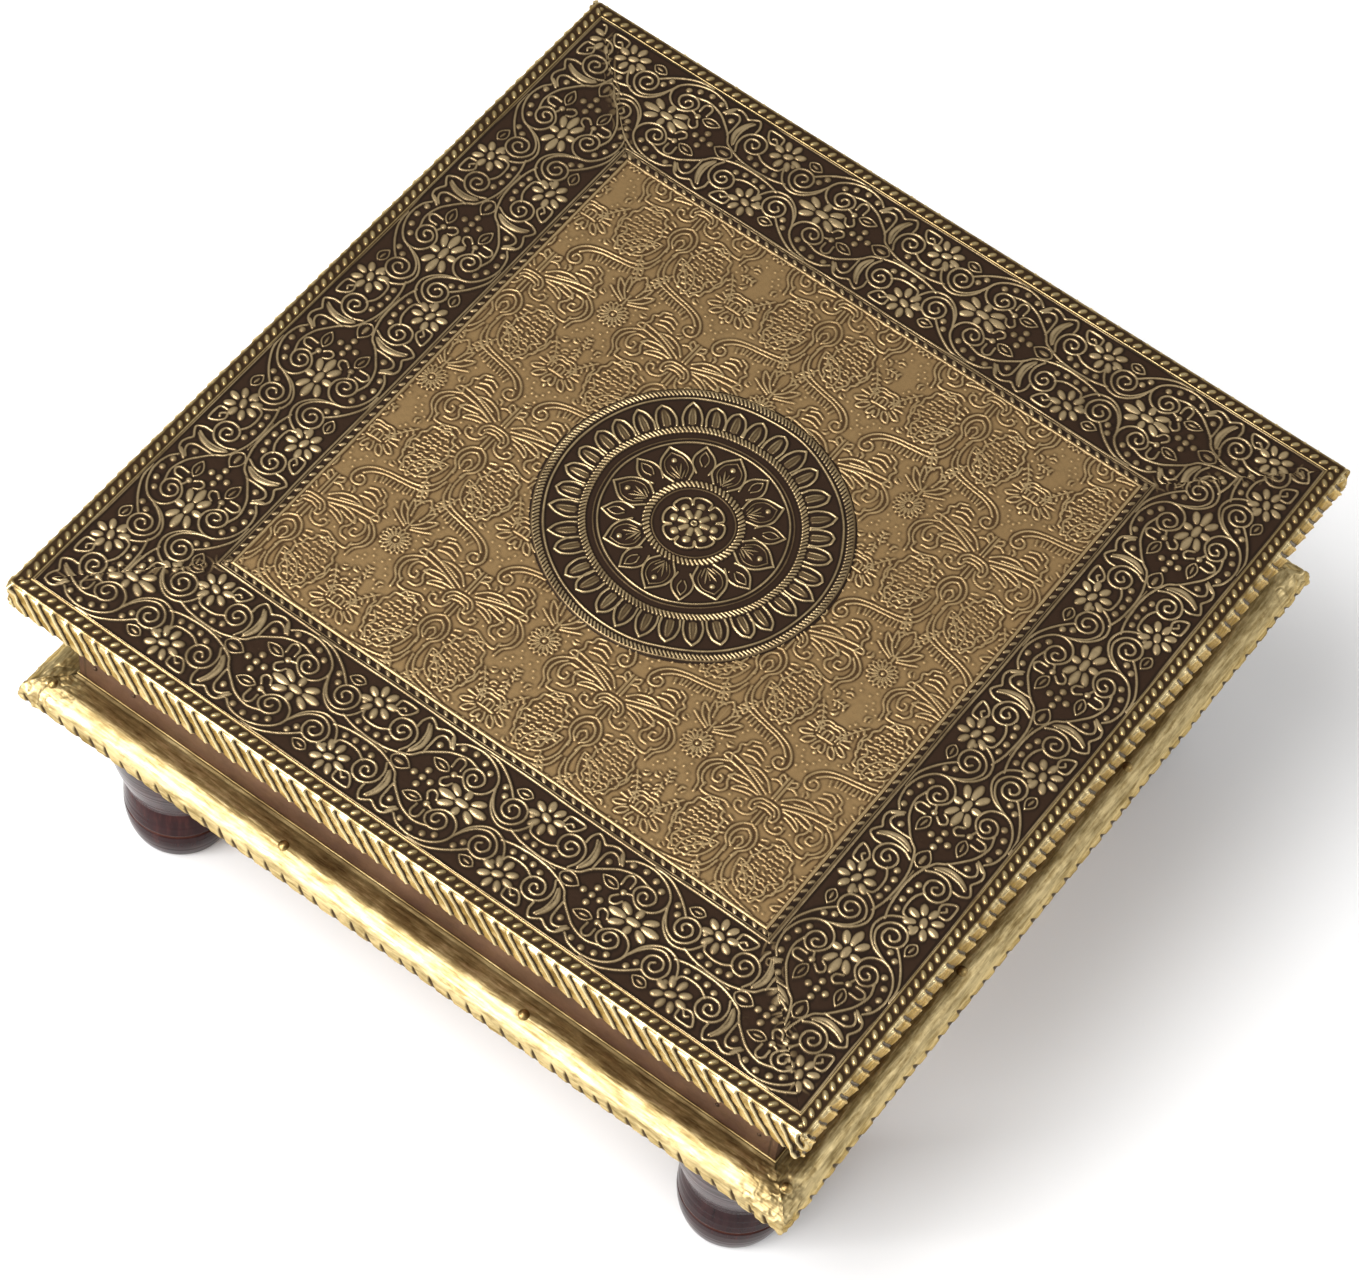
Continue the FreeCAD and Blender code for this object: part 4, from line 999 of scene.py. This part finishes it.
def make_leg(corner, rng, material):
    """Turned leg with faint tool rings, a little out of round as hand turning leaves it."""
    low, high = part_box("leg_" + corner)
    axis = [(low[k] + high[k]) / 2 / MM for k in (0, 1)]
    raw = leg_profile()
    gaps = np.linalg.norm(np.diff(raw, axis=0), axis=1)
    reach = np.concatenate([[0], np.cumsum(gaps)])
    along = np.unique(np.concatenate([reach, np.arange(0, reach[-1], 0.45)]))
    radius, height = (np.interp(along, reach, raw[:, k]) for k in (0, 1))
    around = np.linspace(0, 2 * math.pi, 145)[:-1]
    hh, aa = np.meshgrid(height, around, indexing="ij")
    rr = np.repeat(radius[:, None], len(around), axis=1)
    spread = rr * (np.cos(aa) + 1.3)
    outer = smoothstep(8, 15, rr) * smoothstep(0.4, 3.0, hh) * (1 - smoothstep(84.5, 86.6, hh))
    rings = 0.05 * wander(rng, hh, hh * 0, 1.3) + 0.03 * wander(rng, spread, hh, 9.0)
    lumps = 0.10 * wander(rng, rr * np.cos(aa), hh * 0.3 + rr * np.sin(aa), 22.0)
    rr = rr + (rings + lumps) * outer
    rows, columns = rr.shape
    index, beside, _ = closed_rings(rows, columns)
    points = np.stack([axis[0] + rr * np.cos(aa), axis[1] + rr * np.sin(aa), hh], -1).reshape(-1, 3)
    ends = np.array([[axis[0], axis[1], 0.0], [axis[0], axis[1], height[-1]]])
    quads = np.stack([index[:-1], beside[:-1], beside[1:], index[1:]], -1).reshape(-1, 4)
    foot = fan_to(beside[0], index[0], rows * columns)
    cap = fan_to(index[-1], beside[-1], rows * columns + 1)
    u = np.arange(columns) / columns
    v = along / along[-1] * 0.96 + 0.02
    ones = np.ones((rows - 1, columns))
    left, right = u[None] * ones, (u[None] + 1 / columns) * ones
    down, up = v[:-1, None] * ones, v[1:, None] * ones
    ahead, zero = u + 1 / columns, np.zeros(columns)
    uv = [quad_uv(left, right, down, up),
          np.stack([ahead, zero + 0.015, u, zero + 0.015, u, zero], -1).reshape(-1, 2),
          np.stack([u, zero + 0.985, ahead, zero + 0.985, u, zero + 1], -1).reshape(-1, 2)]
    # wear lightens the groove, shoulder and bead rings: stain worn thin on their edges, and painted
    # highlight lines as well.
    wear = sum(ridge(height - level, width, amount)
               for level, width, amount in ((16.6, 1.6, 1.0), (71.2, 1.6, 0.5), (79.0, 1.2, 0.4)))
    wear = np.repeat(np.clip(wear, 0, 1)[:, None], columns, axis=1)
    # hollow is painted shade: the cove under the bead is darkened where shadow falls.
    hollow = np.repeat(ridge(height - 77.0, 4.5, 1.0)[:, None], columns, axis=1)
    points = np.vstack([points, ends])
    piece = build_mesh("turned_leg_" + corner, points * MM, [quads, foot, cap], np.vstack(uv),
                       relief_attributes(wear, hollow, 2))
    return finish_piece(piece, "leg_" + corner, material)


# ---------------------------------------------------------------- materials

class Shader:
    """Small helper for building a procedural material."""

    def __init__(self, name):
        self.material = bpy.data.materials.new(name)
        self.material.use_nodes = True
        self.tree = self.material.node_tree
        self.bsdf = self.tree.nodes["Principled BSDF"]
        self.place = self.tree.nodes.new("ShaderNodeTexCoord").outputs["Object"]

    def link(self, source, target):
        self.tree.links.new(source, target)

    def noise(self, scale, detail=4.0, rough=0.6, stretch=(1, 1, 1)):
        mapping = self.tree.nodes.new("ShaderNodeMapping")
        mapping.inputs["Scale"].default_value = stretch
        self.link(self.place, mapping.inputs["Vector"])
        node = self.tree.nodes.new("ShaderNodeTexNoise")
        node.inputs["Scale"].default_value = scale
        node.inputs["Detail"].default_value = detail
        node.inputs["Roughness"].default_value = rough
        self.link(mapping.outputs["Vector"], node.inputs["Vector"])
        return node.outputs["Fac"]

    def attribute(self, name):
        node = self.tree.nodes.new("ShaderNodeAttribute")
        node.attribute_name = name
        return node.outputs["Fac"]

    def ramp(self, factor, stops):
        node = self.tree.nodes.new("ShaderNodeValToRGB")
        ramp = node.color_ramp
        while len(ramp.elements) < len(stops):
            ramp.elements.new(0.5)
        for element, (position, colour) in zip(ramp.elements, stops):
            element.position = position
            element.color = (*colour, 1.0)
        self.link(factor, node.inputs["Fac"])
        return node.outputs["Color"]

    def spread(self, factor, low, high, to_low, to_high):
        node = self.tree.nodes.new("ShaderNodeMapRange")
        for key, value in zip(("From Min", "From Max", "To Min", "To Max"),
                              (low, high, to_low, to_high)):
            node.inputs[key].default_value = value
        self.link(factor, node.inputs["Value"])
        return node.outputs["Result"]

    def math(self, kind, first, second):
        node = self.tree.nodes.new("ShaderNodeMath")
        node.operation = kind
        for value, target in zip((first, second), node.inputs):
            if isinstance(value, (int, float)):
                target.default_value = value
            else:
                self.link(value, target)
        return node.outputs["Value"]

    def blend(self, factor, first, second):
        node = self.tree.nodes.new("ShaderNodeMix")
        node.data_type = "RGBA"
        for value, target in ((factor, node.inputs[0]), (first, node.inputs[6]),
                              (second, node.inputs[7])):
            if isinstance(value, tuple):
                target.default_value = (*value, 1.0)
            elif isinstance(value, (int, float)):
                target.default_value = value
            else:
                self.link(value, target)
        return node.outputs[2]

    def bump(self, height, distance, strength=1.0):
        node = self.tree.nodes.new("ShaderNodeBump")
        node.inputs["Distance"].default_value = distance
        node.inputs["Strength"].default_value = strength
        self.link(height, node.inputs["Height"])
        self.link(node.outputs["Normal"], self.bsdf.inputs["Normal"])

    def feed(self, socket, source):
        if isinstance(source, tuple):
            self.bsdf.inputs[socket].default_value = (*source, 1.0)
        elif isinstance(source, (int, float)):
            self.bsdf.inputs[socket].default_value = source
        else:
            self.link(source, self.bsdf.inputs[socket])


def embossed_brass(name, ground, middle, bright, dark, spans, metal, rough, stain=0.5):
    """Patinated sheet: dark in the ground and creases, rubbed bright on the raised lines."""
    s = Shader(name)
    cloud = s.noise(26.0, 5.0, 0.62)
    speck = s.noise(420.0, 3.0, 0.7)
    height = s.attribute("raised")
    uneven = s.math("MULTIPLY", s.math("SUBTRACT", cloud, 0.5), stain)
    level = s.math("ADD", height, uneven)
    level = s.math("ADD", level, s.spread(speck, 0.3, 0.7, -0.07, 0.07))
    colour = s.ramp(level, [(spans[0], ground), (spans[1], middle), (spans[2], bright)])
    crease = s.spread(s.attribute("crease"), 0.0, 0.75, 0.0, 1.0)
    colour = s.blend(crease, colour, dark)
    tarnish = s.spread(s.noise(90.0, 6.0, 0.7), 0.55, 0.78, 0.0, 0.35)
    colour = s.blend(tarnish, colour, dark)
    s.feed("Base Color", colour)
    metallic = s.spread(level, 0.0, 0.6, metal[0], metal[1])
    s.feed("Metallic", s.math("MULTIPLY", metallic, s.spread(crease, 0.0, 1.0, 1.0, 0.4)))
    grain = s.spread(s.noise(650.0, 3.0, 0.6), 0.3, 0.7, -0.06, 0.06)
    s.feed("Roughness", s.math("ADD", s.spread(level, 0.0, 0.8, rough[0], rough[1]), grain))
    s.feed("Specular IOR Level", 0.15)
    s.feed("Specular Tint", (0.80, 0.62, 0.36))
    s.bump(s.noise(1500.0, 3.0, 0.6), 0.00006, 0.5)
    return s.material


def dressed_brass(name, brushing):
    """Polished plain sheet with hand-dressing streaks; darker near the frieze as a painted reflection
    of it, brighter lower down as a painted highlight, with painted shade along the lip and in the
    nicks.
    """
    s = Shader(name)
    streaks = s.noise(60.0, 5.0, 0.7, (1.0, 1.0, 3.0))
    brushed = s.noise(900.0, 3.0, 0.6, brushing)
    # On the plinth the raised attribute carries painted light: a painted reflection of the frieze near
    # the lip and a painted highlight lower down.
    shine = s.attribute("raised")
    level = s.math("ADD", s.spread(shine, 0, 1, 0.42, 0.74), s.spread(streaks, 0.3, 0.7, -0.20, 0.20))
    level = s.math("ADD", level, s.spread(brushed, 0.3, 0.7, -0.24, 0.24))
    colour = s.ramp(level, [(0.15, (0.100, 0.064, 0.025)), (0.5, (0.275, 0.200, 0.085)),
                            (0.9, (0.60, 0.475, 0.245))])
    spots = s.spread(s.noise(330.0, 4.0, 0.7), 0.58, 0.75, 0.0, 0.5)
    colour = s.blend(spots, colour, (0.16, 0.095, 0.03))
    # crease is painted shade: dark in the nicks and in the shadow line along the lip, also darker along
    # the folds; metallic is lowered there too.
    crease = s.attribute("crease")
    colour = s.blend(crease, colour, (0.040, 0.023, 0.010))
    s.feed("Base Color", colour)
    s.feed("Metallic", s.spread(crease, 0.0, 1.0, 1.0, 0.25))
    s.feed("Specular IOR Level", 0.1)
    s.feed("Specular Tint", (0.82, 0.66, 0.40))
    s.feed("Roughness", s.spread(s.noise(180.0, 5.0, 0.7), 0.3, 0.7, 0.34, 0.50))
    s.bump(brushed, 0.00016, 0.9)
    return s.material


def copper_sheet(name):
    """Even copper-brown patina, satin, a little lighter where it was rubbed."""
    s = Shader(name)
    cloud = s.noise(45.0, 6.0, 0.65, (1.0, 1.0, 2.0))
    colour = s.ramp(cloud, [(0.3, (0.078, 0.040, 0.029)), (0.55, (0.120, 0.063, 0.045)),
                            (0.75, (0.165, 0.092, 0.066))])
    colour = s.blend(s.attribute("crease"), colour, (0.04, 0.02, 0.015))
    s.feed("Base Color", colour)
    s.feed("Metallic", 0.75)
    s.feed("Roughness", s.spread(s.noise(240.0, 4.0, 0.7), 0.3, 0.7, 0.34, 0.52))
    s.bump(s.noise(800.0, 4.0, 0.6), 0.00006, 0.6)
    return s.material


def lacquered_wood(name):
    """Dark mahogany lacquer over turned wood; the stain is thin on sharp edges, and the lighter rings
    are also painted highlight lines; the cove is darkened as painted shade.
    """
    s = Shader(name)
    fibre = s.noise(60.0, 6.0, 0.65, (6.0, 6.0, 0.8))
    cloud = s.noise(30.0, 4.0, 0.6)
    level = s.math("ADD", s.spread(fibre, 0.3, 0.7, 0.0, 0.6), s.spread(cloud, 0.3, 0.7, 0.0, 0.4))
    colour = s.ramp(level, [(0.1, (0.010, 0.0035, 0.0045)), (0.6, (0.026, 0.0085, 0.0090)),
                            (0.95, (0.060, 0.018, 0.015))])
    # raised lightens the rings: thin stain together with a painted highlight line.
    colour = s.blend(s.math("MULTIPLY", s.attribute("raised"), 0.55), colour, (0.17, 0.07, 0.045))
    # crease is painted shade in the cove of the leg.
    colour = s.blend(s.attribute("crease"), colour, (0.006, 0.003, 0.003))
    s.feed("Base Color", colour)
    s.feed("Roughness", s.spread(s.noise(200.0, 4.0, 0.7), 0.3, 0.7, 0.08, 0.20))
    s.feed("IOR", 1.13)
    s.feed("Specular IOR Level", 0.5)
    s.bump(s.noise(300.0, 5.0, 0.7), 0.00005, 0.8)
    return s.material


def sawn_wood(name, along):
    """Unfinished softwood with straight grain along the given stretch."""
    s = Shader(name)
    grain = s.noise(95.0, 6.0, 0.6, along)
    pore = s.noise(700.0, 3.0, 0.7, along)
    level = s.math("ADD", s.spread(grain, 0.3, 0.7, 0.05, 0.8), s.spread(pore, 0.3, 0.7, -0.1, 0.15))
    colour = s.ramp(level, [(0.1, (0.20, 0.115, 0.055)), (0.5, (0.40, 0.25, 0.13)),
                            (0.9, (0.56, 0.39, 0.225))])
    s.feed("Base Color", colour)
    s.feed("Roughness", s.spread(pore, 0.3, 0.7, 0.62, 0.85))
    s.bump(level, 0.0003, 0.6)
    return s.material


def small_metal(name, dark, light, rough):
    """Fastener metal with a worn, blotchy face."""
    s = Shader(name)
    wear = s.noise(600.0, 5.0, 0.7)
    s.feed("Base Color", s.ramp(wear, [(0.35, dark), (0.65, light)]))
    s.feed("Metallic", 1.0)
    s.feed("Roughness", s.spread(s.noise(900.0, 3.0, 0.6), 0.3, 0.7, rough - 0.08, rough + 0.1))
    s.bump(s.noise(1200.0, 3.0, 0.6), 0.00008, 0.6)
    return s.material


def dress_cad(nodes, material, bevel=0.0):
    """Give CAD nodes that are shown as they are a material and softened edges."""
    for name in nodes:
        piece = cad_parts[name]
        piece.data.materials.clear()
        piece.data.materials.append(material)
        if bevel:
            edge = piece.modifiers.new("softened", "BEVEL")
            edge.width = bevel * MM
            edge.segments = 2
            edge.limit_method = "ANGLE"
            edge.angle_limit = math.radians(40)
        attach(piece, "root")


# ---------------------------------------------------------------- the table

def build_table():
    rng = np.random.default_rng(11)
    border = embossed_brass("patinated_border", (0.030, 0.0165, 0.0105), (0.165, 0.112, 0.056),
                            (0.52, 0.390, 0.215), (0.013, 0.0075, 0.0055), (0.08, 0.45, 0.95),
                            (0.35, 1.0), (0.48, 0.34), 0.35)
    field = embossed_brass("aged_field", (0.300, 0.192, 0.086), (0.40, 0.274, 0.130),
                           (0.55, 0.400, 0.205), (0.060, 0.033, 0.015), (0.0, 0.5, 1.0),
                           (0.85, 1.0), (0.50, 0.42), 0.5)
    disc = embossed_brass("patinated_medallion", (0.029, 0.016, 0.0105), (0.150, 0.101, 0.051),
                          (0.53, 0.40, 0.215), (0.012, 0.007, 0.0055), (0.08, 0.45, 0.95),
                          (0.35, 1.0), (0.48, 0.34), 0.35)
    edge = embossed_brass("rubbed_edge", (0.040, 0.023, 0.012), (0.27, 0.185, 0.075),
                          (0.74, 0.60, 0.33), (0.022, 0.012, 0.006), (0.10, 0.5, 1.05),
                          (0.6, 1.0), (0.42, 0.28), 0.5)
    plinth_along_x = dressed_brass("dressed_brass_across", (0.13, 1.0, 1.0))
    plinth_along_y = dressed_brass("dressed_brass_deep", (1.0, 0.13, 1.0))
    copper = copper_sheet("copper_patina")
    lacquer = lacquered_wood("mahogany_lacquer")

    design = border_relief()
    inner_row, edge_row = leaf_row(3.8, ROW_WIDTH, 1), leaf_row(3.65, EDGE_ROW_WIDTH, -1)
    for side, degrees in (("front", 0), ("right", 90), ("rear", 180), ("left", 270)):
        make_border(side, degrees, design, inner_row, rng, border)
        make_edge(side, degrees, edge_row, rng, edge)
        make_plinth(side, degrees, rng, plinth_along_x if degrees % 180 == 0 else plinth_along_y)
        make_frieze(side, degrees, rng, copper)
    make_field(field_relief(), rng, field)
    make_medallion(rng, disc)
    for corner in ("front_left", "front_right", "rear_left", "rear_right"):
        make_leg(corner, rng, lacquer)

    lengthwise = sawn_wood("softwood_across", (0.12, 1.0, 1.0))
    endwise = sawn_wood("softwood_deep", (1.0, 0.12, 1.0))
    upright = sawn_wood("softwood_upright", (1.0, 1.0, 0.12))
    dress_cad(["top_board"], lengthwise)
    for kind in ("apron_rail_", "plinth_batten_"):
        dress_cad([kind + "front", kind + "rear"], lengthwise, 0.5)
        dress_cad([kind + "left", kind + "right"], endwise, 0.5)
    dress_cad(["corner_block_" + c for c in ("front_left", "front_right", "rear_left",
                                             "rear_right")], upright, 0.8)
    dark_pins = small_metal("dark_tack", (0.03, 0.018, 0.012), (0.10, 0.06, 0.035), 0.42)
    pins = small_metal("tarnished_brass_pin", (0.16, 0.10, 0.035), (0.45, 0.32, 0.13), 0.34)
    steel = small_metal("dull_steel", (0.15, 0.145, 0.14), (0.38, 0.37, 0.36), 0.42)
    dress_cad(["plinth_pins"], pins)
    dress_cad(["frieze_tacks"], dark_pins)
    dress_cad(["leg_screws", "top_nails", "plinth_nails"], steel)


# ---------------------------------------------------------------- stage, light and camera

def make_floor():
    mesh = bpy.data.meshes.new("floor")
    reach = 4.0
    mesh.from_pydata([(-reach, -reach, 0), (reach, -reach, 0), (reach, reach, 0),
                      (-reach, reach, 0)], [], [(0, 1, 2, 3)])
    floor = bpy.data.objects.new("floor", mesh)
    bpy.context.scene.collection.objects.link(floor)
    s = Shader("pale_floor")
    s.feed("Base Color", (0.93, 0.93, 0.93))
    s.feed("Roughness", 0.9)
    s.feed("Specular IOR Level", 0.1)
    mesh.materials.append(s.material)


def soft_light(name, place, target, size, power, colour=(1.0, 1.0, 1.0)):
    data = bpy.data.lights.new(name, "AREA")
    data.shape = "RECTANGLE"
    data.size, data.size_y = size
    data.energy = power
    data.color = colour
    light = bpy.data.objects.new(name, data)
    light.location = place
    way = Vector(target) - Vector(place)
    light.rotation_euler = way.to_track_quat("-Z", "Y").to_euler()
    bpy.context.scene.collection.objects.link(light)


def make_lights():
    world = bpy.data.worlds.new("studio")
    world.use_nodes = True
    backdrop = world.node_tree.nodes["Background"]
    backdrop.inputs["Color"].default_value = (1.0, 1.0, 1.0, 1.0)
    backdrop.inputs["Strength"].default_value = 0.56
    bpy.context.scene.world = world
    bpy.context.scene.view_settings.view_transform = "Standard"
    middle = (0, 0, 0.1)
    soft_light("front_softbox", (-0.60, -1.6, 0.85), middle, (1.5, 0.7), 34)
    soft_light("right_softbox", (1.7, 0.5, 1.3), middle, (0.8, 0.6), 6)
    soft_light("sparkle_panel", (-0.95, -1.15, 0.75), middle, (0.22, 0.22), 4)
    soft_light("overhead_softbox", (-0.55, -0.75, 2.2), middle, (1.2, 1.0), 40)


def make_camera():
    azimuth, elevation, roll = (math.radians(v) for v in (29.34, 57.77, 8.32))
    side = 0.305
    away, leftward, downward = 4.6024, 0.0145, 0.1213
    back = Vector((math.sin(azimuth) * math.cos(elevation),
                   -math.cos(azimuth) * math.cos(elevation), math.sin(elevation)))
    level = Vector((math.cos(azimuth), math.sin(azimuth), 0))
    above = back.cross(level)
    right = level * math.cos(roll) + above * math.sin(roll)
    up = above * math.cos(roll) - level * math.sin(roll)
    place = Vector((0, 0, TOP_FACE * MM)) + side * (away * back - leftward * right - downward * up)
    data = bpy.data.cameras.new("camera")
    data.sensor_width = 36.0
    data.lens = 116.8
    data.clip_start = 0.05
    camera = bpy.data.objects.new("camera", data)
    camera.matrix_world = Matrix((right, up, back)).transposed().to_4x4()
    camera.location = place
    bpy.context.scene.collection.objects.link(camera)
    bpy.context.scene.camera = camera


build_table()
make_floor()
make_lights()
make_camera()
